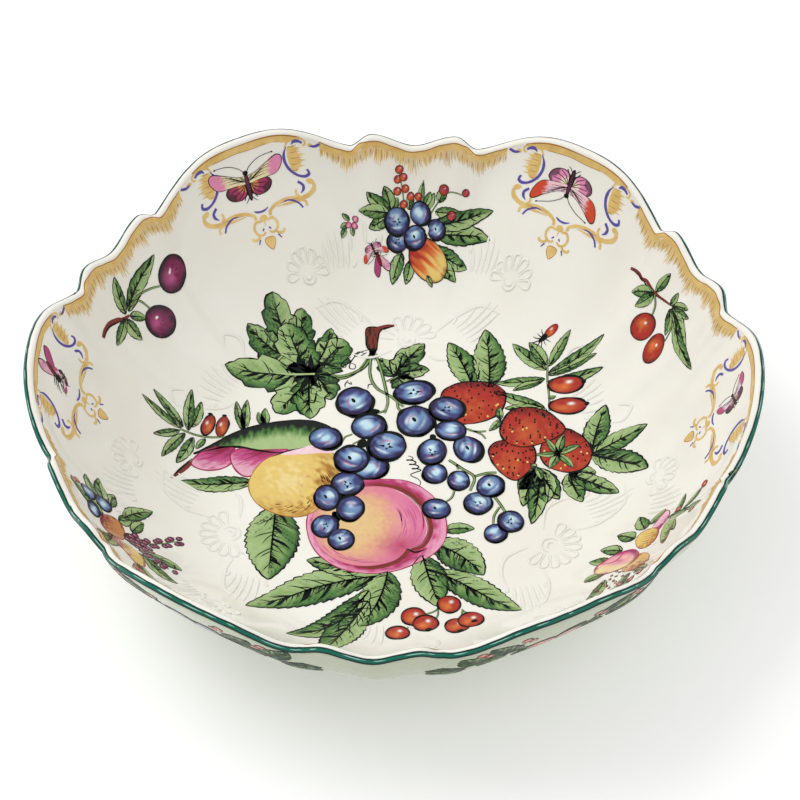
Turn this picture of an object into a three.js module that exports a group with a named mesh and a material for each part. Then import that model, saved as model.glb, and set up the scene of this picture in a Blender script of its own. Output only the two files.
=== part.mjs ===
// Porcelain serving bowl: a moulded body with six lobes, standing on a turned foot ring.
// Millimetres, +Z up. The origin is on the bowl's axis, in the plane the foot ring rests on.
import * as THREE from "three";

// Driving dimensions.
const LOBES = 6;
const RIM_RADIUS = 130; // out to the crest of a lobe
const HEIGHT = 69.5; // resting plane to the crest of a lobe
const RIM_THICKNESS = 3.6;
const FLOOR_THICKNESS = 5;
const FOOT_RADIUS = 64; // outer edge of the foot ring, beside its resting face
const FOOT_HEIGHT = 6;
const FOOT_LAND = 4; // width of the resting face
const FOOT_TAPER = 1.2; // each side of the ring widens by this towards the body
const FOOT_EDGE = 0.7; // rounding beside the resting face
const BASE_MARGIN = 4.8; // flat underside left showing outside the foot ring
const BASE_RADIUS = FOOT_RADIUS + FOOT_TAPER + BASE_MARGIN; // the flat that the ring is luted to

// The rim between two lobes: a valley beside each lobe, a small cusp, then a shallow bracket.
const HALF_SECTOR = 180 / LOBES; // degrees from the middle of a lobe to the middle of a bracket
const VALLEY_ANGLE = HALF_SECTOR * 0.63;
const CUSP_ANGLE = HALF_SECTOR * 0.75;
const VALLEY_INSET = 5.2; // inwards from RIM_RADIUS
const CUSP_INSET = 3.9;
const BRACKET_INSET = 4.8;
const VALLEY_DROP = 11.4; // below HEIGHT
const CUSP_DROP = 7.8;
const BRACKET_DROP = 12.9;

// The wall's section is one cubic curve outside and one inside, from the rim to the base.
const WALL_FLARE = 7; // how far the outside falls in over its first WALL_FALL
const WALL_FALL = 20;
const COVE_REACH = 23; // how far the round at the foot of the wall runs out along the floor
const FULLNESS = 5; // the round outside runs this much further out along the base
const SHELL_LEAN = 1.1; // the inside curve's handle stands this much higher than the outside one's

// Facets.
const LOBE_STEPS = 6;
const CUSP_STEPS = 2;
const BRACKET_STEPS = 2;
const WALL_STEPS = 9;
const LIP_STEPS = 4;
const FOOT_SEGMENTS = 96;

const ease = (t) => t * t * (3 - 2 * t);
const mix = (a, b, t) => a + (b - a) * t;

// How far the rim lies inside RIM_RADIUS, at an angle in degrees from the middle of a lobe.
function rimInset(angle) {
  if (angle <= VALLEY_ANGLE) return VALLEY_INSET * (angle / VALLEY_ANGLE) ** 2.6;
  if (angle <= CUSP_ANGLE)
    return mix(VALLEY_INSET, CUSP_INSET, ease((angle - VALLEY_ANGLE) / (CUSP_ANGLE - VALLEY_ANGLE)));
  return mix(CUSP_INSET, BRACKET_INSET, ease((angle - CUSP_ANGLE) / (HALF_SECTOR - CUSP_ANGLE)));
}

// How far the rim lies below HEIGHT, at the same angle.
function rimDrop(angle) {
  if (angle <= VALLEY_ANGLE) return VALLEY_DROP * ease((angle / VALLEY_ANGLE) ** 1.6);
  if (angle <= CUSP_ANGLE)
    return mix(VALLEY_DROP, CUSP_DROP, ease((angle - VALLEY_ANGLE) / (CUSP_ANGLE - VALLEY_ANGLE)));
  return mix(CUSP_DROP, BRACKET_DROP, ease((angle - CUSP_ANGLE) / (HALF_SECTOR - CUSP_ANGLE)));
}

// Every angle round the rim that gets a column of vertices, with its offset from the lobe's middle.
function rimAngles() {
  const half = [];
  for (let i = 0; i < LOBE_STEPS; i++) half.push((VALLEY_ANGLE * i) / LOBE_STEPS);
  for (let i = 0; i < CUSP_STEPS; i++)
    half.push(mix(VALLEY_ANGLE, CUSP_ANGLE, i / CUSP_STEPS));
  for (let i = 0; i < BRACKET_STEPS; i++)
    half.push(mix(CUSP_ANGLE, HALF_SECTOR, i / BRACKET_STEPS));
  const columns = [];
  for (let lobe = 0; lobe < LOBES; lobe++) {
    const middle = 2 * HALF_SECTOR * lobe;
    for (const offset of half) columns.push({ at: middle + offset, offset });
    for (const offset of [HALF_SECTOR, ...half.slice(1).reverse()])
      columns.push({ at: middle + 2 * HALF_SECTOR - offset, offset });
  }
  return columns;
}

// The section of the shell at one angle: points (radius, height) from the edge of the flat base,
// up the outside, over the lip and down the inside to the edge of the floor.
function shellSection(offset) {
  const rim = new THREE.Vector2(RIM_RADIUS - rimInset(offset), HEIGHT - rimDrop(offset));
  const lip = RIM_THICKNESS / 2;
  const floorEdge = BASE_RADIUS - FLOOR_THICKNESS / 2;
  const floor = FOOT_HEIGHT + FLOOR_THICKNESS;
  const outside = new THREE.CubicBezierCurve(
    new THREE.Vector2(BASE_RADIUS, FOOT_HEIGHT),
    new THREE.Vector2(BASE_RADIUS + COVE_REACH + FULLNESS, FOOT_HEIGHT),
    new THREE.Vector2(rim.x - WALL_FLARE, rim.y - lip - WALL_FALL),
    new THREE.Vector2(rim.x, rim.y - lip),
  );
  const inside = new THREE.CubicBezierCurve(
    new THREE.Vector2(rim.x - RIM_THICKNESS, rim.y - lip),
    new THREE.Vector2(rim.x - RIM_THICKNESS - WALL_FLARE, rim.y - lip - WALL_FALL + SHELL_LEAN),
    new THREE.Vector2(floorEdge + COVE_REACH, floor),
    new THREE.Vector2(floorEdge, floor),
  );
  const section = outside.getPoints(WALL_STEPS);
  for (let i = 1; i < LIP_STEPS; i++) {
    const turn = (Math.PI * i) / LIP_STEPS;
    section.push(new THREE.Vector2(rim.x - lip + lip * Math.cos(turn), rim.y - lip + lip * Math.sin(turn)));
  }
  section.push(...inside.getPoints(WALL_STEPS));
  return section;
}

// The bowl's body: one section for each column round the rim, closed by the base and the floor.
function bowlGeometry() {
  const columns = rimAngles();
  const sections = columns.map(({ offset }) => shellSection(offset));
  const rings = sections[0].length;
  const positions = [];
  columns.forEach(({ at }, i) => {
    const turn = THREE.MathUtils.degToRad(at);
    for (const p of sections[i]) positions.push(p.x * Math.cos(turn), p.x * Math.sin(turn), p.y);
  });
  const baseCentre = positions.length / 3;
  positions.push(0, 0, FOOT_HEIGHT);
  const floorCentre = baseCentre + 1;
  positions.push(0, 0, FOOT_HEIGHT + FLOOR_THICKNESS);
  const index = [];
  for (let i = 0; i < columns.length; i++) {
    const here = i * rings;
    const next = ((i + 1) % columns.length) * rings;
    index.push(baseCentre, next, here);
    for (let k = 0; k < rings - 1; k++) {
      index.push(here + k, next + k, next + k + 1);
      index.push(here + k, next + k + 1, here + k + 1);
    }
    index.push(floorCentre, here + rings - 1, next + rings - 1);
  }
  const geometry = new THREE.BufferGeometry();
  geometry.setAttribute("position", new THREE.Float32BufferAttribute(positions, 3));
  geometry.setIndex(index);
  geometry.computeVertexNormals();
  return geometry;
}

// The foot ring, turned about the bowl's axis: a flat resting face below, a flat seat above.
function footGeometry() {
  const inner = FOOT_RADIUS - FOOT_LAND - 2 * FOOT_EDGE;
  const section = [
    new THREE.Vector2(inner + FOOT_EDGE, 0),
    new THREE.Vector2(FOOT_RADIUS - FOOT_EDGE, 0),
    new THREE.Vector2(FOOT_RADIUS, FOOT_EDGE),
    new THREE.Vector2(FOOT_RADIUS + FOOT_TAPER, FOOT_HEIGHT),
    new THREE.Vector2(inner - FOOT_TAPER, FOOT_HEIGHT),
    new THREE.Vector2(inner, FOOT_EDGE),
    new THREE.Vector2(inner + FOOT_EDGE, 0),
  ];
  // LatheGeometry turns about Y, so the ring is stood up onto Z.
  return new THREE.LatheGeometry(section, FOOT_SEGMENTS).rotateX(Math.PI / 2);
}

const glazed = new THREE.MeshStandardMaterial({ color: 0xf3efe6, roughness: 0.12, metalness: 0 });
const bisque = new THREE.MeshStandardMaterial({ color: 0xece5d8, roughness: 0.45, metalness: 0 });

const body = new THREE.Mesh(bowlGeometry(), glazed);
body.name = "bowl_body";

const foot = new THREE.Mesh(footGeometry(), bisque);
foot.name = "foot_ring";

const bowl = new THREE.Group();
bowl.name = "serving_bowl";
bowl.add(body, foot);

export default bowl;
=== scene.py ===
"""Porcelain serving bowl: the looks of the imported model.

Lengths here are millimetres until a mesh is made. The painted decoration is thin raised coats of
enamel and gilding, laid on the bowl's skin by a small set of brush functions.
"""
import math

import bpy
import numpy as np
from mathutils import Matrix, Vector
from mathutils.geometry import delaunay_2d_cdt


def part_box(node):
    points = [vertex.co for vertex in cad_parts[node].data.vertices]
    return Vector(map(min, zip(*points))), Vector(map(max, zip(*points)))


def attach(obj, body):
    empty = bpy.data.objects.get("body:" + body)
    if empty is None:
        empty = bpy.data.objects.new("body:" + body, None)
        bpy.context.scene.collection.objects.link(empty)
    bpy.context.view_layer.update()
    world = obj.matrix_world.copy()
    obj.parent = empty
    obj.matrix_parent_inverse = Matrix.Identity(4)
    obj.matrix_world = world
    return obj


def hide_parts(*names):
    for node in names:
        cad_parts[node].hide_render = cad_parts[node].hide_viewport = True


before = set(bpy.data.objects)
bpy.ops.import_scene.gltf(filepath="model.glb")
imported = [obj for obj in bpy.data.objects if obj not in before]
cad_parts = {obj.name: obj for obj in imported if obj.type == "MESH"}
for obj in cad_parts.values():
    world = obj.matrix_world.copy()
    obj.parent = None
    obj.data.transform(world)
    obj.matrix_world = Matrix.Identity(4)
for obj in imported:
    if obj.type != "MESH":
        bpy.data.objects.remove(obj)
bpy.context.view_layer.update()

MM = 0.001

# ---------------------------------------------------------------- the bowl's shape
# The rim's rise and fall and the wall's section, as the CAD has them.
LOBES = 6
RIM_THICKNESS = 3.6
FLOOR_THICKNESS = 5.0
FOOT_LAND = 4.0
FOOT_TAPER = 1.2
FOOT_EDGE = 0.7
BASE_MARGIN = 4.8
SECTOR = 360 / LOBES  # degrees from one lobe to the next
HALF_SECTOR = SECTOR / 2
VALLEY_ANGLE = HALF_SECTOR * 0.63
CUSP_ANGLE = HALF_SECTOR * 0.75
VALLEY_INSET, CUSP_INSET, BRACKET_INSET = 5.2, 3.9, 4.8
VALLEY_DROP, CUSP_DROP, BRACKET_DROP = 11.4, 7.8, 12.9
WALL_FLARE = 7.0
WALL_FALL = 20.0
COVE_REACH = 23.0
FULLNESS = 5.0
SHELL_LEAN = 1.1

body_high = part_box("bowl_body")[1] / MM
foot_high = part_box("foot_ring")[1] / MM
RIM_RADIUS = body_high.x
HEIGHT = body_high.z
FOOT_HEIGHT = foot_high.z
FOOT_RADIUS = foot_high.x - FOOT_TAPER
BASE_RADIUS = foot_high.x + BASE_MARGIN
FLOOR = FOOT_HEIGHT + FLOOR_THICKNESS
LIP = RIM_THICKNESS / 2


def ease(t):
    return t * t * (3 - 2 * t)


def step(low, high, x):
    return ease(np.clip((x - low) / (high - low), 0, 1))


def rim_profile(offset, valley, cusp, bracket, valley_curve):
    """A rim measure at an offset in degrees from the middle of a lobe."""
    a = np.asarray(offset, float)
    lobe = valley * valley_curve(np.clip(a / VALLEY_ANGLE, 0, 1))
    rise = valley + (cusp - valley) * step(VALLEY_ANGLE, CUSP_ANGLE, a)
    fall = cusp + (bracket - cusp) * step(CUSP_ANGLE, HALF_SECTOR, a)
    return np.where(a <= VALLEY_ANGLE, lobe, np.where(a <= CUSP_ANGLE, rise, fall))


def rim_at(offset):
    """Radius and height of the rim's outer edge."""
    inset = rim_profile(offset, VALLEY_INSET, CUSP_INSET, BRACKET_INSET, lambda t: t**2.6)
    drop = rim_profile(offset, VALLEY_DROP, CUSP_DROP, BRACKET_DROP, lambda t: ease(t**1.6))
    return RIM_RADIUS - inset, HEIGHT - drop


def bezier(a, b, c, d, t):
    s = 1 - t
    return s**3 * a + 3 * s * s * t * b + 3 * s * t * t * c + t**3 * d


def wall_section(offset, side, t):
    """The wall's curve from the lip (t = 0) to the base or the floor (t = 1): radius, height."""
    radius, crest = rim_at(offset)
    top = crest - LIP
    if side == "inside":
        edge = BASE_RADIUS - FLOOR_THICKNESS / 2
        start, low = radius - RIM_THICKNESS, FLOOR
        lean, reach = SHELL_LEAN, COVE_REACH
    else:
        edge = BASE_RADIUS
        start, low = radius, FOOT_HEIGHT
        lean, reach = 0, COVE_REACH + FULLNESS
    r = bezier(start, start - WALL_FLARE, edge + reach, edge, t)
    z = bezier(top, top - WALL_FALL + lean, low, low, t)
    return r, z


def skin_section(offset, side, wall_steps=120, lip_steps=10, floor_steps=40):
    """From the crest over one side to the axis: arrays of radius and height."""
    radius, crest = rim_at(offset)
    turn = np.linspace(0, math.pi / 2, lip_steps, endpoint=False)
    away = -1 if side == "inside" else 1
    r = [radius - LIP + away * LIP * np.sin(turn)]
    z = [crest - LIP + LIP * np.cos(turn)]
    wall = wall_section(offset, side, np.linspace(0, 1, wall_steps))
    r.append(wall[0])
    z.append(wall[1])
    across = np.linspace(1, 0, floor_steps + 1)[1:]
    r.append(wall[0][-1] * across)
    z.append(wall[1][-1] + 0 * across)
    return np.concatenate(r), np.concatenate(z)


class Skin:
    """One side of the bowl, addressed by angle round the axis and distance down from the crest."""

    ROWS = 301
    PITCH = 0.5
    LENGTH = 190  # longer than any section, from the crest to the axis
    PROBE = 0.3  # how far apart points are taken to find a normal

    def __init__(self, side):
        self.out = -1 if side == "inside" else 1
        offsets = np.linspace(0, HALF_SECTOR, self.ROWS)
        self.v = np.arange(0, self.LENGTH, self.PITCH)
        self.radii = np.arange(0, RIM_RADIUS + 1, self.PITCH)
        r_rows, z_rows, v_rows = [], [], []
        for offset in offsets:
            r, z = skin_section(offset, side)
            arc = np.concatenate([[0], np.cumsum(np.hypot(np.diff(r), np.diff(z)))])
            r_rows.append(np.interp(self.v, arc, r))
            z_rows.append(np.interp(self.v, arc, z))
            widest = int(np.argmax(r))
            v_rows.append(np.interp(self.radii, r[widest:][::-1], arc[widest:][::-1]))
        self.r, self.z, self.v_of_r = map(np.array, (r_rows, z_rows, v_rows))

    def _row(self, degrees):
        offset = np.abs((degrees + HALF_SECTOR) % SECTOR - HALF_SECTOR)
        f = offset / HALF_SECTOR * (self.ROWS - 1)
        i = np.clip(f.astype(int), 0, self.ROWS - 2)
        return i, f - i

    def _read(self, table, degrees, along):
        i, f = self._row(degrees)
        g = np.clip(along / self.PITCH, 0, table.shape[1] - 1.001)
        j = g.astype(int)
        g = g - j
        low = table[i, j] * (1 - g) + table[i, j + 1] * g
        high = table[i + 1, j] * (1 - g) + table[i + 1, j + 1] * g
        return low * (1 - f) + high * f

    def radius(self, degrees, v):
        return self._read(self.r, np.asarray(degrees, float), np.asarray(v, float))

    def down(self, degrees, radius):
        return self._read(self.v_of_r, np.asarray(degrees, float), np.asarray(radius, float))

    def _point(self, degrees, v):
        r = self._read(self.r, degrees, v)
        z = self._read(self.z, degrees, v)
        a = np.radians(degrees)
        return np.stack([r * np.cos(a), r * np.sin(a), z], -1)

    def at(self, degrees, v):
        """Points on the skin and the normals that lead out of the porcelain."""
        here = self._point(degrees, v)
        spin = np.degrees(self.PROBE / np.maximum(self.radius(degrees, v), 5.0))
        across = self._point(degrees + spin, v) - self._point(degrees - spin, v)
        before = self._point(degrees, np.maximum(v - self.PROBE, 0))
        along = self._point(degrees, v + self.PROBE) - before
        normal = np.cross(across, along) * self.out * -1
        length = np.linalg.norm(normal, axis=1, keepdims=True)
        return here, normal / np.maximum(length, 1e-9)


INSIDE = Skin("inside")
OUTSIDE = Skin("outside")


# ---------------------------------------------------------------- colour
def rgb(text):
    """Linear colour from a hex string."""
    c = np.array([int(text[i : i + 2], 16) for i in (0, 2, 4)]) / 255
    return np.where(c <= 0.04045, c / 12.92, ((c + 0.055) / 1.055) ** 2.4)


LEAF = rgb("87A664")
LEAF_PALE = rgb("AAC287")
LEAF_DEEP = rgb("52803F")
LEAF_DARK = rgb("14291F")
INK = rgb("0D1512")
BLUE = rgb("6E8EBA")
BLUE_PALE = rgb("C4E4F0")
VIOLET = rgb("312D6C")
PLUM = rgb("2A1740")
MAGENTA = rgb("B23A7A")
ROSE = rgb("F3C3D4")
RED = rgb("AE2E22")
RED_DEEP = rgb("7E1F1A")
ORANGE = rgb("E4803C")
YELLOW = rgb("E6C873")
OCHRE = rgb("BE8B3A")
WHITE = rgb("FBF8F2")
BROWN = rgb("7A2F22")
BROWN_SOFT = rgb("A8642E")
GOLD = rgb("D9B560")
TEAL = rgb("0B6B57")
PINE = rgb("0C2E2A")


def blend(a, b, t):
    t = np.asarray(t)[..., None]
    return a * (1 - t) + b * t


def grain(x, y, seed=0):
    """Smooth value noise from 0 to 1 at unit spacing."""

    def lattice(i, j):
        h = np.sin(i * 127.1 + j * 311.7 + seed * 74.7) * 43758.5453
        return h - np.floor(h)

    i, j = np.floor(x), np.floor(y)
    fx, fy = ease(x - i), ease(y - j)
    low = lattice(i, j) * (1 - fx) + lattice(i + 1, j) * fx
    high = lattice(i, j + 1) * (1 - fx) + lattice(i + 1, j + 1) * fx
    return low * (1 - fy) + high * fy


# ---------------------------------------------------------------- lines
def spline(points, closed=False, pitch=0.5):
    """A Catmull-Rom curve through given points."""
    p = np.array(points, float)
    n = len(p)
    ends = (p[-1], p[:2]) if closed else (2 * p[0] - p[1], 2 * p[-1] - p[-2])
    ring = np.vstack([ends[0], p, ends[1]])
    out = []
    for i in range(n if closed else n - 1):
        a, b, c, d = ring[i : i + 4]
        steps = max(2, int(math.ceil(np.linalg.norm(c - b) / pitch)))
        t = (np.arange(steps) / steps)[:, None]
        square, cube = 2 * a - 5 * b + 4 * c - d, 3 * b - a - 3 * c + d
        out.append(0.5 * (2 * b + (c - a) * t + square * t**2 + cube * t**3))
    if not closed:
        out.append(p[-1:])
    return np.vstack(out)


def normals_of(path, closed=False):
    if closed:
        d = np.roll(path, -1, 0) - np.roll(path, 1, 0)
    else:
        d = np.gradient(path, axis=0)
    d /= np.maximum(np.linalg.norm(d, axis=1, keepdims=True), 1e-9)
    return np.stack([-d[:, 1], d[:, 0]], 1)


def swelling(t, ends, rise, fall):
    """Width along a stroke: ends[0] at t = 0, full after rise, down to ends[1] over the last fall."""
    start = np.minimum(1, ends[0] + (1 - ends[0]) * t / rise)
    return start * np.minimum(1, ends[1] + (1 - ends[1]) * (1 - t) / fall)


def quads(rows, n):
    """Faces of a grid of rows of n points each."""
    corners = ((r * n + i, (r + 1) * n + i) for r in range(rows - 1) for i in range(n - 1))
    return [(a, b, b + 1, a + 1) for a, b in corners]


def within(p, x, y, rx, ry, turn=0):
    """Coordinates of points in an ellipse's own axes, 1 on its edge."""
    c, s = math.cos(math.radians(turn)), math.sin(math.radians(turn))
    dx, dy = p[:, 0] - x, p[:, 1] - y
    return (dx * c + dy * s) / rx, (-dx * s + dy * c) / ry


def ellipse(x, y, rx, ry, turn=0, wobble=0.0, seed=0, n=56):
    a = np.linspace(0, 2 * math.pi, n, endpoint=False)
    k = 1 + wobble * (np.sin(2 * a + seed) + 0.6 * np.sin(3 * a + 2.1 * seed))
    px, py = rx * k * np.cos(a), ry * k * np.sin(a)
    c, s = math.cos(math.radians(turn)), math.sin(math.radians(turn))
    return np.stack([x + px * c - py * s, y + px * s + py * c], 1)


def inside_outline(points, outline):
    x, y = points[:, :1], points[:, 1:]
    x0, y0 = outline[:, 0], outline[:, 1]
    x1, y1 = np.roll(x0, -1), np.roll(y0, -1)
    crosses = (y0 > y) != (y1 > y)
    with np.errstate(divide="ignore", invalid="ignore"):
        at = x0 + (y - y0) / (y1 - y0) * (x1 - x0)
    return (crosses & (x < at)).sum(1) % 2 == 1


# ---------------------------------------------------------------- coats
EMBED = 0.05  # how far a coat reaches down into the glaze
FIRST = 0.08  # the lowest coat's thickness
LAYER = 0.008  # each further coat stands this much higher


class Coat:
    """The mesh of one named piece of decoration, gathered shape by shape."""

    def __init__(self):
        self.points, self.faces, self.colours, self.count = [], [], [], 0

    def add(self, points, faces, colours):
        self.points.append(points)
        self.faces.extend([tuple(i + self.count for i in f) for f in faces])
        self.colours.append(colours)
        self.count += len(points)


COATS = {}
PAINTED = []  # outlines, in plan, of what is painted: moulded ribs stop short of them


def bare(plan):
    """Which plan points have no painted shape over them."""
    free = np.ones(len(plan), bool)
    low, high = plan.min(0), plan.max(0)
    for outline in PAINTED:
        if (outline.max(0) < low).any() or (outline.min(0) > high).any():
            continue
        free &= ~inside_outline(plan, outline)
    return free


class Canvas:
    """A patch of skin to paint on: x to the right and y up, as seen facing it."""

    def __init__(self, name, place, flip=False):
        self.name, self.place, self.flip = name, place, flip
        self.matrix = np.eye(2)
        self.shift = np.zeros(2)
        self.lift = 0

    def moved(self, x=0, y=0, scale=1.0, turn=0.0, mirror=False, lift=0):
        other = Canvas(self.name, self.place, self.flip)
        c, s = math.cos(math.radians(turn)), math.sin(math.radians(turn))
        m = np.array([[c, -s], [s, c]]) * scale
        if mirror:
            m = m @ np.array([[-1, 0], [0, 1]])
        other.matrix = self.matrix @ m
        other.shift = self.matrix @ np.array([x, y]) + self.shift
        other.lift = self.lift + lift
        return other

    @property
    def scale(self):
        return math.sqrt(abs(np.linalg.det(self.matrix)))

    def _skin(self, local):
        return self.place(local @ self.matrix.T + self.shift)

    def slab(self, coat, local, faces, colours, level, dome=None):
        """A closed coat over a flat triangulation. A dome gives each point a height of its own."""
        here, normal = self._skin(local)
        thick = FIRST + LAYER * (level + self.lift) if dome is None else dome[:, None]
        n = len(local)
        turned = (np.linalg.det(self.matrix) < 0) != self.flip
        if turned:
            faces = [f[::-1] for f in faces]
        edges = {}
        for f in faces:
            for a, b in zip(f, f[1:] + f[:1]):
                edges[(a, b)] = True
        sides = [(b, a, a + n, b + n) for a, b in edges if (b, a) not in edges]
        under = [tuple(i + n for i in f[::-1]) for f in faces]
        points = np.vstack([here + normal * thick, here - normal * EMBED])
        piece = COATS.setdefault(f"{self.name}_{coat}", Coat())
        piece.add(points, list(faces) + under + sides, np.vstack([colours, colours]))

    def fill(self, coat, outline, paint, level=0, pitch=0.6):
        """Fills an outline; paint gives a colour for every local point."""
        pitch = pitch / self.scale
        outline = np.asarray(outline, float)
        gaps = np.linalg.norm(outline - np.roll(outline, 1, 0), axis=1)
        outline = outline[gaps > min(pitch * 0.15, gaps.sum() / 200)]
        low, high = outline.min(0), outline.max(0)
        xs = np.arange(low[0], high[0], pitch)
        ys = np.arange(low[1], high[1], pitch * 0.866)
        gx, gy = np.meshgrid(xs, ys)
        gx[1::2] += pitch / 2
        grid = np.stack([gx.ravel(), gy.ravel()], 1)
        if len(grid):
            grid = grid[inside_outline(grid, outline)]
        if len(grid):
            gap = np.linalg.norm(grid[:, None] - outline[None], axis=2).min(1)
            grid = grid[gap > pitch * 0.55]
        n = len(outline)
        points = [Vector(p) for p in np.vstack([outline, grid])]
        edges = [(i, (i + 1) % n) for i in range(n)]
        made = delaunay_2d_cdt(points, edges, [], 1, 1e-5)
        local = np.array([tuple(p) for p in made[0]])
        faces = [tuple(f) for f in made[2]]
        if not faces:
            return
        a, b, c = (local[[f[k] for f in faces]] for k in range(3))
        area = np.cross(b - a, c - a)
        faces = [f if k > 0 else f[::-1] for f, k in zip(faces, area)]
        colours = paint(local) if callable(paint) else np.tile(paint, (len(local), 1))
        self.slab(coat, local, faces, colours, level)
        PAINTED.append(self._skin(outline)[0][:, :2])

    def stroke(self, coat, points, width, colour=None, level=3, ends=(0.25, 0.1), pitch=0.8,
               curve=True):
        """A brush stroke: a ribbon whose width swells between its ends."""
        path = spline(points, pitch=pitch / self.scale) if curve else np.array(points, float)
        t = np.linspace(0, 1, len(path))
        swell = swelling(t, ends, 0.22, 0.4)
        uneven = 1 + 0.22 * (grain(path[:, 0] * 0.9, path[:, 1] * 0.9, 5) - 0.5)
        half = (0.5 * width * swell * uneven)[:, None]
        side = normals_of(path) * half
        local = np.vstack([path + side, path - side])
        n = len(path)
        faces = quads(2, n)
        colour = INK if colour is None else colour
        self.slab(coat, local, faces, np.tile(colour, (len(local), 1)), level)

    def loop(self, coat, outline, width, colour=None, level=3, uneven=0.45, seed=0):
        """A closed outline drawn with a brush whose width wanders."""
        path = np.asarray(outline, float)
        keep = np.linalg.norm(path - np.roll(path, 1, 0), axis=1) > 0.1 / self.scale
        path = path[keep]
        wander = 1 + uneven * (2 * grain(path[:, 0] * 0.35, path[:, 1] * 0.35, seed + 3) - 1)
        side = normals_of(path, closed=True) * (0.5 * width * wander)[:, None]
        local = np.vstack([path + side, path - side])
        n = len(path)
        faces = [(i, i + n, (i + 1) % n + n, (i + 1) % n) for i in range(n)]
        colour = INK if colour is None else colour
        self.slab(coat, local, faces, np.tile(colour, (len(local), 1)), level)

    def ridge(self, coat, points, width, height, pitch=1.0, ends=(0.3, 0.3)):
        """A rounded moulded rib."""
        path = spline(points, pitch=pitch / self.scale)
        free = bare(self._skin(path)[0][:, :2])
        if not free.all():
            first = int(np.argmax(free))
            last = first + int(np.argmin(np.append(free[first:], False)))
            path = path[first:last]
        if len(path) < 4:
            return
        t = np.linspace(0, 1, len(path))
        swell = swelling(t, ends, 0.3, 0.3)
        side = normals_of(path)
        rows = np.linspace(-1, 1, 7)
        local = np.vstack([path - side * (k * 0.5 * width * swell)[:, None] for k in rows])
        dome = np.concatenate([height * swell * (1 - k * k) for k in rows]) + 0.004
        n = len(path)
        faces = quads(len(rows), n)
        self.slab(coat, local, faces, np.tile(WHITE, (len(local), 1)), 0, dome)

    def band(self, coat, xs, high, low, colour, level=1, rows=3):
        """A stretch between two curves, given by their heights at xs."""
        local = np.vstack([np.stack([xs, high + (low - high) * k], 1) for k in np.linspace(0, 1, rows)])
        n = len(xs)
        faces = quads(rows, n)
        self.slab(coat, local, faces, np.tile(colour, (len(local), 1)), level)


def floor_canvas(name):
    """Plan view of the inside: x and y are the bowl's own."""

    def place(p):
        degrees = np.degrees(np.arctan2(p[:, 1], p[:, 0]))
        return INSIDE.at(degrees, INSIDE.down(degrees, np.hypot(p[:, 0], p[:, 1])))

    return Canvas(name, place)


MM_PER_DEGREE = 2.06  # of strip canvases: the arc of one degree half way up the wall
CREST_SLOPE = 1.05  # distance down the wall for each millimetre of height, near the rim


def crest_over(degrees, middle):
    """How far the rim at some angles stands above the rim at the middle one, along the wall."""

    def crest(angle):
        return rim_at(np.abs((angle + HALF_SECTOR) % SECTOR - HALF_SECTOR))[1]

    return CREST_SLOPE * (crest(np.asarray(degrees, float)) - crest(np.asarray(middle, float)))


def strip_canvas(name, degrees, skin=INSIDE, level=False):
    """The wall unrolled about an angle: x runs to the right of someone facing it, y is minus the
    distance down from the crest. A level strip doesn't follow the rim's rise and fall."""
    sign = -1 if skin is INSIDE else 1

    def place(p):
        angle = degrees + sign * p[:, 0] / MM_PER_DEGREE
        down = -p[:, 1] + (crest_over(angle, degrees) if level else 0)
        return skin.at(angle, down)

    return Canvas(name, place)


def spotter(middle):
    """Turns (angle, distance down from the crest) into a level strip's x and y."""

    def at(degrees, down):
        return (middle - degrees) * MM_PER_DEGREE, float(crest_over(degrees, middle)) - down

    return at


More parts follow.
